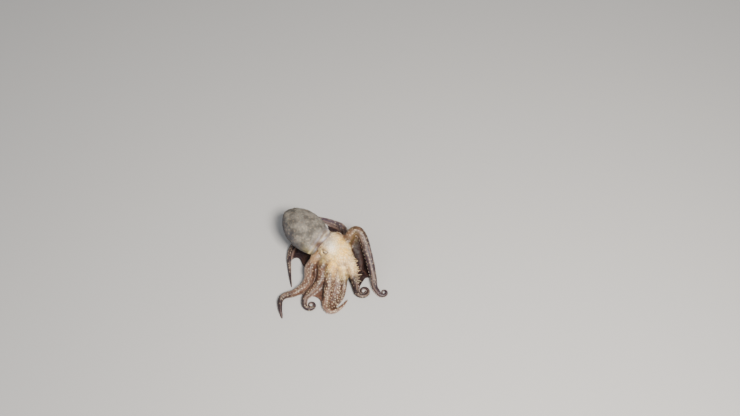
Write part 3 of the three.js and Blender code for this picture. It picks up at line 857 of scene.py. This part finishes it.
relief += on_mantle * (soft + 0.35 * knobs + 0.12 * grain)
relief += on_head * (0.35 * soft + 0.6 * knobs + 0.3 * grain) + rays
relief += on_arm * (0.02 * arm_radius * (soft + stripes) + 0.03 * arm_radius * knobs
                    + 0.1 * grain)
relief += 0.8 * neck * folds
relief += on_web * (0.25 * ripples + 0.2 * knobs)

# Creases: where the skin lies under its own smoothed shape. The markings paint shade into them.
CREASE_ROUNDS = 14
CREASE_DEPTH = (0.05, 0.8)
smoothed = skin_points
for _ in range(CREASE_ROUNDS):
    smoothed = relaxed(smoothed, skin_edges, 1.0)
crease = smooth_step(((smoothed - skin_points) * skin_out).sum(1), *CREASE_DEPTH)

# The relief is put on, less of it near the floor. Where it turns a face over, the skin is smoothed.
FLOOR_SHARE = 0.4                # most relief over the height above the floor
UNFOLD_ROUNDS = 4
FLOOR_SLACK = 0.2                # how far the relief may go under the lowest flesh
relief = np.minimum(relief, skin_points[:, 2] * FLOOR_SHARE)
skin_points = skin_points + relief[:, None] * skin_out
for _ in range(UNFOLD_ROUNDS):
    first, second, third, fourth = (skin_points[skin_faces[:, corner]] for corner in range(4))
    outwards = skin_out[skin_faces].mean(1)
    halves = (np.cross(second - first, third - first), np.cross(third - first, fourth - first))
    turned = np.minimum(*((half * outwards).sum(1) for half in halves)) < 0
    folded = np.unique(skin_faces[turned])
    skin_points[folded] = relaxed(skin_points, skin_edges, 1.0)[folded]
skin_points[:, 2] = np.maximum(skin_points[:, 2], FLESH_FLOOR - FLOOR_SLACK)
skin_points = np.clip(skin_points, room_low, room_high)

# Markings. Cream on the crown, the head and the near half of the front arms, warmer towards the
# left, with tan in the dips between the knobs further out that is partly painted shade, and an ash
# grey patch on the head's back; brown with pale spots on the right arms; painted shade on the webs
# under the raised arm and behind, on the middle and far parts of some arms, on the mantle's far
# flank and in creases and hollows; lilac grey on the coils and the hind left arms; pale lines along
# the arms; a dull grey mantle with a painted highlight along its front rim, and bluish white
# painted highlights on the crests of the folds at the neck with painted shade in their troughs.
CREAM_ENDS = {"left_1": (44, 62), "left_2": (-12, 10), "left_3": (-12, 6), "left_4": (2, 14),
              "right_1": (26, 50), "right_2": (14, 44), "right_3": (4, 24), "right_4": (0, 14)}
LILAC_STARTS = {"left_1": (74, 96), "left_2": (46, 116), "left_3": (50, 84),
                "left_4": (20, 50), "right_1": (400, 500), "right_2": (150, 175),
                "right_3": (96, 120), "right_4": (120, 160)}
OLIVE_PATCHES = ((1.0, (-44, 0, 52), 12), (0.9, (-16, -17, 38), 9), (0.8, (34, 27, 40), 12),
                 (0.9, (50, 40, 52), 13), (0.7, (31, -46, 24), 10))
# Patches of painted shade in hollows round the eyes and the neck, and in a row down the front right
# of the crown.
HOLLOW_SHADE_PATCHES = ((1.0, (-25, 5, 67), 8), (1.0, (-24, 0, 58), 6), (1.0, (4, 44, 46), 7),
                  (1.3, (-15.1, -2.6, 55.9), 2.8), (1.3, (-5.5, -9.5, 55), 2.6),
                  (0.7, (-6, -26, 33), 4), (0.7, (-6, -33, 33), 4), (0.6, (-6, -39, 33), 4),
                  (0.5, (-5, -45, 32), 4))
SUNNY_PATCHES = ((1.0, (24, 21, 52), 12), (1.0, (29, -6, 50), 14), (1.0, (8, -30, 38), 20))
GLARE_PATCHES = ((1.0, (2, 3, 58), 9),)
# How much painted shade darkens an arm past a length along it.
ARM_SHADE_PAST = (("left_4", 0, 0.6), ("right_4", 120, 0.6), ("right_3", 90, 0.6), ("left_1", 84, 0.75),
          ("left_2", 60, 0.3), ("left_2", 90, 0.15), ("right_1", 40, 0.4))


def arm_tone(table):
    """A smooth step along each arm between two lengths, with a ragged edge."""
    starts, ends = np.array([table[name] for name in arm_names])[arm_of].T
    return smooth_step(arm_length + (9.0 * knobs + 5.0 * grain), starts, ends)


arm_like = np.maximum(on_arm, on_web) * (1 - on_mantle)
cream = np.maximum(on_head, arm_like * (1 - arm_tone(CREAM_ENDS)))
lilac = arm_like * arm_tone(LILAC_STARTS)
on_funnel = belongs(grid_value(funnel, skin_points), near=0.5, far=3.0)
# Masks of painted shade: the webs under the raised left arm, the webs behind and on the left, the
# middle of the front left arm, the far parts of some arms and the right side of the front right
# arm.
under_arch = smooth_step(skin_points @ FORWARD, 4.0, 18.0) * smooth_step(skin_points[:, 0], 26, 34)
hind_web = on_web * smooth_step(-skin_points @ FORWARD, 2.0, 30.0)
left_web = on_web * smooth_step(skin_points @ LEFTWARD, 34.0, 60.0)
shaded = on("left_1") * smooth_step(arm_length, 52, 64) * (1 - smooth_step(arm_length, 84, 100))
outer_left = turned_to((-0.9, 0.1, 0.2), 0.35, 0.75)
right_side_shade = on("right_1", 30) * turned_to((0.9, -0.2, 0), 0.2, 0.8)
low_rim = on("right_2", 104) * turned_to((0, -1.0, 0), 0.1, 0.7)
arm_shade = sum(most * on(name, start) for name, start, most in ARM_SHADE_PAST)
painted_shade = np.maximum.reduce([on_web * under_arch, 0.85 * hind_web, 0.5 * left_web, 0.95 * shaded,
                          arm_shade, 0.6 * right_side_shade])
lumps = np.clip(0.5 - 0.8 * knobs - 0.3 * grain, 0, 1)
pale_lines = (on_arm * back_of_arm * smooth_step(stripes, 0.1, 0.55)
              * smooth_step(arm_length, 24, 60))
MARKINGS = {
    "cream": cream * (1 - on_mantle) * (1 - 0.9 * on_funnel),
    "dull": on_mantle,
    "brown": np.clip(1 - on_mantle - 0.8 * lilac, 0, 1),
    "lilac": lilac,
    "painted_shade": painted_shade,
    # Tan in the dips between the knobs further out from the crown: partly the skin's own colour,
    # partly painted shade.
    "tan_and_dip_shade": smooth_step(from_axis, 12.0, 32.0) * lumps,
    # Painted shade on the side of the mantle that faces away from the key lamp.
    "flank_shade": on_mantle * turned_to((-0.9, -0.35, -0.1), 0.4, 0.85),
    "belly": on_mantle * turned_to((0, 0, -1.0), 0.1, 0.8),
    "spot": spot_mask * (1 - 0.5 * painted_shade),
    "pale": np.maximum.reduce([0.5 * pale_lines, 0.8 * on("right_4", 14, 120) * outer_left,
                               0.8 * low_rim]),
    "oral": on_arm * smooth_step(np.cos(arm_angle), -0.2, 0.4) * (1 - 0.9 * under_arch),
    "papilla": papilla_tops * (1 - 0.65 * on_mantle),
    "neck": neck,
    "ash": ash,
    "fold": 0.5 + 0.5 * folds,
    "rim_highlight": rim_highlight,
    "olive": np.clip(patches(OLIVE_PATCHES), 0, 1),
    "hollow_shade": np.clip(patches(HOLLOW_SHADE_PATCHES) + 0.75 * crease, 0, 1),
    "sunny": np.clip(patches(SUNNY_PATCHES) + 0.35 * rays + 0.3 * knobs, 0, 1),
    "glare": np.clip(patches(GLARE_PATCHES) + 0.35 * grain, 0, 1) * on_head,
    "tan": on_funnel,
}


def make_mesh(name, points, faces, material):
    """A smooth mesh object at the origin from points in mm in the octopus's frame and faces of
    one size."""
    count, corners = faces.shape
    mesh = bpy.data.meshes.new(name)
    mesh.vertices.add(len(points))
    mesh.vertices.foreach_set("co", ((points + OFFSET) * MM).astype(np.float32).ravel())
    mesh.loops.add(count * corners)
    mesh.loops.foreach_set("vertex_index", faces.astype(np.int32).ravel())
    mesh.polygons.add(count)
    mesh.polygons.foreach_set("loop_start", np.arange(0, count * corners, corners, dtype=np.int32))
    mesh.polygons.foreach_set("use_smooth", np.ones(count, dtype=bool))
    mesh.update(calc_edges=True)
    mesh.validate()
    mesh.materials.append(material)
    piece = bpy.data.objects.new(name, mesh)
    bpy.context.scene.collection.objects.link(piece)
    return piece


def add_layer(piece, name, values):
    """A value at each of a piece's points, for its material to read."""
    layer = piece.data.attributes.new(name, "FLOAT", "POINT")
    layer.data.foreach_set("value", values.astype(np.float32).ravel())


skin_material = new_material("skin", {
    "Subsurface Weight": 0.12, "Subsurface Radius": (1.0, 0.45, 0.3), "Subsurface Scale": 0.003,
    "Specular IOR Level": 0.12, "Coat Roughness": 0.36})
skin = make_mesh("skin", skin_points, skin_faces, skin_material)
for name, values in MARKINGS.items():
    add_layer(skin, name, values)
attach(skin, "root")
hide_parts(*[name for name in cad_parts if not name.startswith("eye")])


class Nodes:
    """A node tree to build in: add places a node, and fill gives its sockets numbers or links."""

    def __init__(self, tree):
        self.tree = tree

    def fill(self, node, inputs):
        for key, value in inputs.items():
            if isinstance(value, bpy.types.NodeSocket):
                self.tree.links.new(value, node.inputs[key])
            else:
                node.inputs[key].default_value = value

    def add(self, kind, inputs=None, **settings):
        node = self.tree.nodes.new(kind)
        for key, value in settings.items():
            setattr(node, key, value)
        self.fill(node, inputs or {})
        return node

    def marking(self, name):
        return self.add("ShaderNodeAttribute", attribute_name=name).outputs["Fac"]

    def math(self, operation, first, second=0.0, third=0.0):
        return self.add("ShaderNodeMath", {0: first, 1: second, 2: third},
                        operation=operation).outputs[0]

    def ramp(self, value, low, high):
        return self.add("ShaderNodeMapRange", {"Value": value, "From Min": low, "From Max": high},
                        interpolation_type="SMOOTHSTEP").outputs["Result"]

    def mix(self, share, first, second):
        return self.add("ShaderNodeMix", {0: share, 6: first, 7: second},
                        data_type="RGBA").outputs[2]


def colour(red, green, blue):
    """A colour from 0 to 255, as the eye reads it, in the linear scale that shaders use."""
    share = np.array([red, green, blue]) / 255
    linear = np.where(share <= 0.04045, share / 12.92, ((share + 0.055) / 1.055) ** 2.4)
    return (*linear, 1.0)


def skin_pattern_group():
    """Node group of the skin's own pattern: soft patches a few mm across with grooves between
    them, small raised grains, and broad cloudy mottling. Scales are per metre."""
    group = bpy.data.node_groups.new("skin_pattern", "ShaderNodeTree")
    for name in ("Patch", "Grain", "Clouds"):
        group.interface.new_socket(name, in_out="INPUT", socket_type="NodeSocketFloat")
    for name in ("Groove", "Cloud", "Fleck", "Height"):
        group.interface.new_socket(name, in_out="OUTPUT", socket_type="NodeSocketFloat")
    nodes = Nodes(group)
    given = nodes.add("NodeGroupInput").outputs
    place = nodes.add("ShaderNodeTexCoord").outputs["Object"]
    bend = nodes.add("ShaderNodeTexNoise", {"Vector": place, "Scale": 160.0, "Detail": 2.0})
    shifted = nodes.add("ShaderNodeVectorMath", {0: bend.outputs["Color"], "Scale": 0.004},
                        operation="SCALE").outputs[0]
    wavy = nodes.add("ShaderNodeVectorMath", {0: place, 1: shifted}, operation="ADD").outputs[0]
    edge = nodes.add("ShaderNodeTexVoronoi", {"Vector": wavy, "Scale": given["Patch"]},
                     feature="DISTANCE_TO_EDGE").outputs["Distance"]
    groove = nodes.ramp(edge, 0.16, 0.0)
    cell = nodes.add("ShaderNodeTexVoronoi", {"Vector": wavy, "Scale": given["Grain"]})
    grains = nodes.ramp(cell.outputs["Distance"], 0.5, 0.1)
    lucky = nodes.add("ShaderNodeSeparateColor", {0: cell.outputs["Color"]}).outputs[0]
    fleck = nodes.math("MULTIPLY", nodes.ramp(cell.outputs["Distance"], 0.38, 0.15),
                       nodes.ramp(lucky, 0.6, 0.75))
    cloud = nodes.add("ShaderNodeTexNoise", {"Vector": place, "Scale": given["Clouds"],
                                             "Detail": 4.0, "Roughness": 0.6}).outputs["Fac"]
    cloud = nodes.ramp(cloud, 0.35, 0.65)
    height = nodes.math("MULTIPLY_ADD", grains, 0.35, nodes.math("MULTIPLY", groove, -0.7))
    height = nodes.math("MULTIPLY_ADD", cloud, 0.3, height)
    nodes.add("NodeGroupOutput", {"Groove": groove, "Cloud": cloud, "Fleck": fleck,
                                  "Height": height})
    return group


SKIN_PATTERN = skin_pattern_group()


def finish_skin(material):
    """Wet, soft skin: the markings laid over each other, darker in the grooves, paler on warts. The
    mantle and the places with painted shade are less wet."""
    nodes = Nodes(material.node_tree)
    pattern = nodes.add("ShaderNodeGroup", {"Patch": 210.0, "Grain": 480.0, "Clouds": 60.0},
                        node_tree=SKIN_PATTERN).outputs
    cloud = pattern["Cloud"]

    def share(name, most):
        return nodes.math("MULTIPLY", nodes.marking(name), most)

    def mottled(dark, light):
        return nodes.mix(cloud, colour(*dark), colour(*light))

    cream = nodes.mix(nodes.marking("sunny"), colour(255, 226, 164), colour(255, 203, 98))
    cream = nodes.mix(nodes.math("MULTIPLY", cloud, 0.25), cream, colour(214, 170, 112))
    cream = nodes.mix(share("tan_and_dip_shade", 0.8), cream, colour(184, 142, 94))
    cream = nodes.mix(nodes.marking("glare"), cream, colour(255, 240, 216))
    # Painted highlights, bluish white, on the crests of the neck's folds, and painted shade in
    # their troughs.
    neck_fold_light_and_shade = nodes.mix(nodes.marking("fold"), colour(110, 90, 80), colour(196, 192, 200))
    tone = mottled((82, 78, 73), (127, 121, 112))
    # Colours laid over each other in turn. The mantle's far flank, the dark webs and arm parts, and
    # the hollows and creases get painted shade; the mantle's front rim gets a painted highlight.
    for name, most, tint_or_shade in (
            ("flank_shade", 0.7, colour(50, 51, 62)), ("belly", 0.5, colour(150, 140, 132)),
            ("brown", 1.0, mottled((58, 36, 28), (98, 67, 51))),
            ("lilac", 1.0, mottled((50, 39, 46), (76, 63, 72))), ("cream", 1.0, cream),
            ("ash", 0.75, mottled((150, 140, 130), (186, 178, 168))),
            ("painted_shade", 1.0, mottled((18, 10, 12), (34, 22, 24))), ("neck", 0.8, neck_fold_light_and_shade),
            ("tan", 0.8, colour(156, 122, 88)), ("olive", 0.65, colour(126, 112, 56)),
            ("pale", 0.6, colour(166, 140, 124)), ("oral", 0.6, colour(174, 150, 140)),
            ("rim_highlight", 0.7, colour(230, 210, 160)), ("hollow_shade", 0.8, colour(66, 42, 34))):
        tone = nodes.mix(share(name, most), tone, tint_or_shade)
    dark_side = nodes.math("MULTIPLY_ADD", nodes.marking("brown"), 0.2, 0.15)
    tone = nodes.mix(nodes.math("MULTIPLY", pattern["Groove"], dark_side), tone,
                     colour(76, 54, 44))
    lit = nodes.math("SUBTRACT", 1.0, share("painted_shade", 0.8))
    pale_side = nodes.math("MULTIPLY_ADD", nodes.marking("brown"), 0.1, 0.08)
    pale = nodes.math("MULTIPLY", pattern["Fleck"], nodes.math("MULTIPLY", pale_side, lit))
    for name, most in (("spot", 0.66), ("papilla", 0.4)):
        pale = nodes.math("MAXIMUM", pale, share(name, most))
    gloss = nodes.math("MULTIPLY_ADD", cloud, 0.12, 0.34)
    for name, more in (("painted_shade", 0.06), ("dull", 0.28)):
        gloss = nodes.math("MULTIPLY_ADD", nodes.marking(name), more, gloss)
    bump = nodes.add("ShaderNodeBump", {"Height": pattern["Height"], "Strength": 0.5,
                                        "Distance": 0.0006}).outputs["Normal"]
    wet = nodes.math("SUBTRACT", 0.6, share("dull", 0.54))
    nodes.fill(material.node_tree.nodes["Principled BSDF"], {
        "Base Color": nodes.mix(pale, tone, colour(244, 222, 186)), "Roughness": gloss,
        "Normal": bump, "Coat Weight": nodes.math("MULTIPLY", lit, wet), "Coat Normal": bump})


finish_skin(skin_material)

# ---- Long papillae ----
# Tapered tongues of skin that stand up in a ragged ruff along the outer side of the front left arm.
# They grow out of the skin, so each has the markings of the place that it roots in.

TONGUE_COUNT = 44
TONGUE_SIDES = 8
TONGUE_RINGS = 7
TONGUE_LENGTH = (3.5, 10.5)
TONGUE_DEPTH = 0.8               # how deep a root sits in the skin
TONGUE_FLATNESS = 0.65
TONGUE_LEAN = np.array([0.45, -0.35, 0.1])
TONGUE_SPREAD = 0.22             # how much the ways that they stand vary
TONGUE_BEND = 0.2
TONGUE_ROOT = (0.17, 0.5)        # radius at the root: a share of the length, and mm
TONGUE_TAPER = (0.94, 0.8)       # how much thinner the tip is, and the power of the fall
TONGUE_START = 8.0               # length along the arm of the first
TONGUE_APART = 2.6


def tube_faces(rings, sides, count):
    """Squares of a number of closed tubes, each a row of rings. They face outwards where the rings
    turn right-handed about their row. A fan of squares round a ring's first point closes each
    end."""
    a, b = np.meshgrid(np.arange(rings - 1), np.arange(sides), indexing="ij")
    after = (b + 1) % sides
    wall = np.stack([a * sides + b, a * sides + after, (a + 1) * sides + after,
                     (a + 1) * sides + b], -1).reshape(-1, 4)
    fan = np.array([[0, k, k + 1, k + 2] for k in range(1, sides - 1, 2)])
    one = np.vstack([wall, (rings - 1) * sides + fan, fan[:, [0, 3, 2, 1]]])
    return (one + (np.arange(count) * rings * sides)[:, None, None]).reshape(-1, 4)


def add_tongues(roots):
    """Cones with a bend: the middle line is a parabola, the radius falls as a power of the length,
    and the section is a flattened circle."""
    count = len(roots)
    length = rng.uniform(*TONGUE_LENGTH, count)[:, None, None]
    way = unit(skin_out[roots] + TONGUE_LEAN + rng.normal(0, TONGUE_SPREAD, (count, 3)))
    bend = rng.normal(0, TONGUE_BEND, (count, 3))
    share = np.linspace(0, 1, TONGUE_RINGS)[None, :, None]
    foot = skin_points[roots] - TONGUE_DEPTH * skin_out[roots]
    middle = (foot[:, None] + length * share * way[:, None]
              + length * share ** 2 * bend[:, None])
    side = unit(np.cross(way, skin_out[roots] + np.array([0.1, 0.2, 0.3])))
    other = np.cross(way, side)
    turn = np.linspace(0, 2 * np.pi, TONGUE_SIDES, endpoint=False)[None, None, :, None]
    ring = (np.cos(turn) * side[:, None, None] + TONGUE_FLATNESS * np.sin(turn)
            * other[:, None, None])
    radius = ((TONGUE_ROOT[0] * length + TONGUE_ROOT[1])
              * (1 - TONGUE_TAPER[0] * share) ** TONGUE_TAPER[1])
    points = middle[:, :, None] + radius[..., None] * ring
    points = np.clip(points, room_low, room_high)
    tongues = make_mesh("papillae", points.reshape(-1, 3),
                        tube_faces(TONGUE_RINGS, TONGUE_SIDES, count), skin_material)
    up_tongue = np.broadcast_to(share[..., None], points.shape[:3] + (1,)).ravel()
    for name, values in MARKINGS.items():
        carried = np.repeat(values[roots], TONGUE_RINGS * TONGUE_SIDES)
        if name == "papilla":
            carried = np.maximum(carried, up_tongue)
        add_layer(tongues, name, carried)
    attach(tongues, "root")


add_tongues(scatter(fringe * (arm_length > TONGUE_START) * 1.0, TONGUE_COUNT, TONGUE_APART))

# ---- Suckers ----
# Two staggered rows of soft cups along the underside of every arm. Each is a short stalk with a
# grooved rim and a hollow in the middle, smaller and smaller towards the arm's end.

SUCKER_WIDTH = 0.82              # cup width over the arm's radius
SUCKER_SPACING = 1.12            # from cup to cup in one row, over the cup's width
SUCKER_ANGLE = 0.46              # how far round each row lies, radians from the middle line
SUCKER_SIDES = 10
SUCKER_START = 20.0              # length along the arm of the first pair
SUCKER_FLOOR = 0.02              # height of the lowest rims
SUCKER_PROFILE = np.array([(0.40, -0.22), (0.44, 0.05), (0.50, 0.20), (0.44, 0.27), (0.30, 0.20),
                           (0.16, 0.10), (0.10, 0.00)])   # radius and height over the cup's width
# Painted shade: the stalk's foot and the hollow in the middle of each cup are dark, the rim pale.
SUCKER_UNSHADED = np.array([0, 0.2, 0.8, 1.0, 0.6, 0.2, 0.0])   # how pale each ring of it is

sucker_material = new_material("suckers", {"Roughness": 0.4, "Subsurface Weight": 0.12,
                                           "Subsurface Scale": 0.002})


def add_suckers(name, line):
    """One mesh of all an arm's cups: a profile turned left-handed round the way that each cup
    faces. Along the arm they stand as far apart as the integral of one over their spacing says."""
    along = line["along"]
    steps = np.arange(len(along))
    width = SUCKER_WIDTH * line["radius"]
    rate = np.concatenate([[0], np.cumsum(np.diff(along) / (SUCKER_SPACING * width[1:]))])
    rate -= np.interp(SUCKER_START, along, rate)
    number = np.arange(2 * int(rate[-1]))
    angle = np.where(number % 2, 1.0, -1.0) * SUCKER_ANGLE
    place = np.interp(number / 2, rate, steps)
    radius = np.interp(place, steps, line["radius"])
    middle, ahead, oral, beside = frame_at(line, place)
    facing = unit(oral * np.cos(angle)[:, None] + beside * np.sin(angle)[:, None])
    base = middle + facing * arm_size(radius, angle)[:, None]
    level = unit(np.cross(facing, unit(ahead)))
    ahead = np.cross(level, facing)
    turn = np.linspace(0, 2 * np.pi, SUCKER_SIDES, endpoint=False)[:, None]
    ring = np.cos(turn) * level[:, None, None] + np.sin(turn) * ahead[:, None, None]
    out, up = SUCKER_PROFILE.T[:, :, None, None]
    cups = out * ring + up * facing[:, None, None]
    wide = (SUCKER_WIDTH * radius)[:, None, None, None]
    points = np.clip(base[:, None, None] + wide * cups, room_low, room_high)
    points[..., 2] = np.maximum(points[..., 2], SUCKER_FLOOR)
    faces = tube_faces(len(SUCKER_PROFILE), SUCKER_SIDES, len(number))[:, [0, 3, 2, 1]]
    cups = make_mesh("suckers_" + name, points.reshape(-1, 3), faces, sucker_material)
    add_layer(cups, "rim", np.tile(np.repeat(SUCKER_UNSHADED, SUCKER_SIDES), len(number)))
    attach(cups, "root")


for name, line in LINES.items():
    add_suckers(name, line)

nodes = Nodes(sucker_material.node_tree)
pattern = nodes.add("ShaderNodeGroup", {"Patch": 500.0, "Grain": 900.0, "Clouds": 70.0},
                    node_tree=SKIN_PATTERN).outputs
tone = nodes.mix(pattern["Cloud"], colour(196, 172, 162), colour(228, 210, 194))
# Painted shade on the cup's foot and in its hollow, pale colour on its rim.
tone = nodes.mix(nodes.marking("rim"), colour(122, 92, 86), tone)
bump = nodes.add("ShaderNodeBump", {"Height": pattern["Height"], "Strength": 0.3,
                                    "Distance": 0.0004}).outputs["Normal"]
nodes.fill(sucker_material.node_tree.nodes["Principled BSDF"], {"Base Color": tone, "Normal": bump})

# ---- Eyes ----
# A ball under a clear, wet cornea, with a brassy iris and a black pupil: a level bar that stays
# level whichever way the octopus turns.

EYE_RINGS = 20
EYE_SIDES = 40
EYE_BACK = 0.98                  # how much smaller the ball's back lies in the map
PUPIL_HALF = (0.31, 0.095)       # half sizes over the eye's width, level and upright
PUPIL_SQUARENESS = (4.0, 2.0)
PUPIL_EDGE = (1.25, 0.85)
IRIS_EDGE = (0.30, 0.46)
eye_material = new_material("eye", {"Roughness": 0.22, "Coat Weight": 1.0, "Coat Roughness": 0.04})


def add_eye(name):
    """A closed ball of rings round the way the eye looks, with a UV map that lays its front flat:
    u across the level, v up, both over the ball's width."""
    look = EYE_LOOKS[name]
    level, upright = EYE_FRAMES[name]
    polar = np.linspace(0, np.pi, EYE_RINGS + 1)[1:-1]
    turn = np.linspace(0, 2 * np.pi, EYE_SIDES, endpoint=False)
    a = np.sin(polar)[:, None] * np.cos(turn)
    b = np.sin(polar)[:, None] * np.sin(turn)
    c = np.cos(polar)[:, None] + 0 * turn
    local = np.vstack([np.column_stack([a.ravel(), b.ravel(), c.ravel()]), [0, 0, 1], [0, 0, -1]])
    points = EYE_PLACES[name] + EYE_RADIUS * (local[:, :1] * level + local[:, 1:2] * upright
                                              + local[:, 2:] * look)
    rows, columns = np.meshgrid(np.arange(EYE_RINGS - 2), np.arange(EYE_SIDES), indexing="ij")
    after = (columns + 1) % EYE_SIDES
    square = np.stack([rows * EYE_SIDES + columns, (rows + 1) * EYE_SIDES + columns,
                       (rows + 1) * EYE_SIDES + after, rows * EYE_SIDES + after], -1).reshape(-1, 4)
    front, back = len(local) - 2, len(local) - 1
    edge = np.arange(EYE_SIDES)
    last = (EYE_RINGS - 2) * EYE_SIDES
    caps = [(front, side, (side + 1) % EYE_SIDES) for side in edge]
    caps += [(back, last + (side + 1) % EYE_SIDES, last + side) for side in edge]
    mesh = bpy.data.meshes.new("eye_" + name + "_ball")
    mesh.from_pydata(((points + OFFSET) * MM).tolist(), [], square.tolist() + caps)
    mesh.polygons.foreach_set("use_smooth", np.ones(len(mesh.polygons), dtype=bool))
    mesh.materials.append(eye_material)
    corners = np.empty(len(mesh.loops), dtype=np.int32)
    mesh.loops.foreach_get("vertex_index", corners)
    flat = 0.5 + 0.5 * local[corners, :2] * np.where(local[corners, 2:] > 0, 1.0, EYE_BACK)
    mesh.uv_layers.new(name="look").data.foreach_set("uv", flat.astype(np.float32).ravel())
    ball = bpy.data.objects.new("eye_" + name + "_ball", mesh)
    bpy.context.scene.collection.objects.link(ball)
    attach(ball, "root")
    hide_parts("eye_" + name)


add_eye("right")
add_eye("left")

nodes = Nodes(eye_material.node_tree)
on_front = nodes.add("ShaderNodeUVMap", uv_map="look").outputs[0]
parts = nodes.add("ShaderNodeSeparateXYZ", {0: on_front}).outputs
off_middle = [nodes.math("ABSOLUTE", nodes.math("SUBTRACT", parts[axis], 0.5)) for axis in (0, 1)]
bar = nodes.math("ADD", *(nodes.math("POWER", nodes.math("DIVIDE", part, half), power)
                          for part, half, power in zip(off_middle, PUPIL_HALF, PUPIL_SQUARENESS)))
reach = nodes.math("SQRT", nodes.math("ADD", *(nodes.math("POWER", part, 2.0)
                                               for part in off_middle)))
streaks = nodes.add("ShaderNodeTexNoise", {"Vector": on_front, "Scale": 14.0, "Detail": 5.0})
iris = nodes.mix(streaks.outputs["Fac"], colour(132, 104, 74), colour(220, 194, 154))
iris = nodes.mix(nodes.ramp(reach, *IRIS_EDGE), iris, colour(96, 72, 54))
tone = nodes.mix(nodes.ramp(bar, *PUPIL_EDGE), iris, colour(8, 7, 7))
nodes.fill(eye_material.node_tree.nodes["Principled BSDF"], {"Base Color": tone})
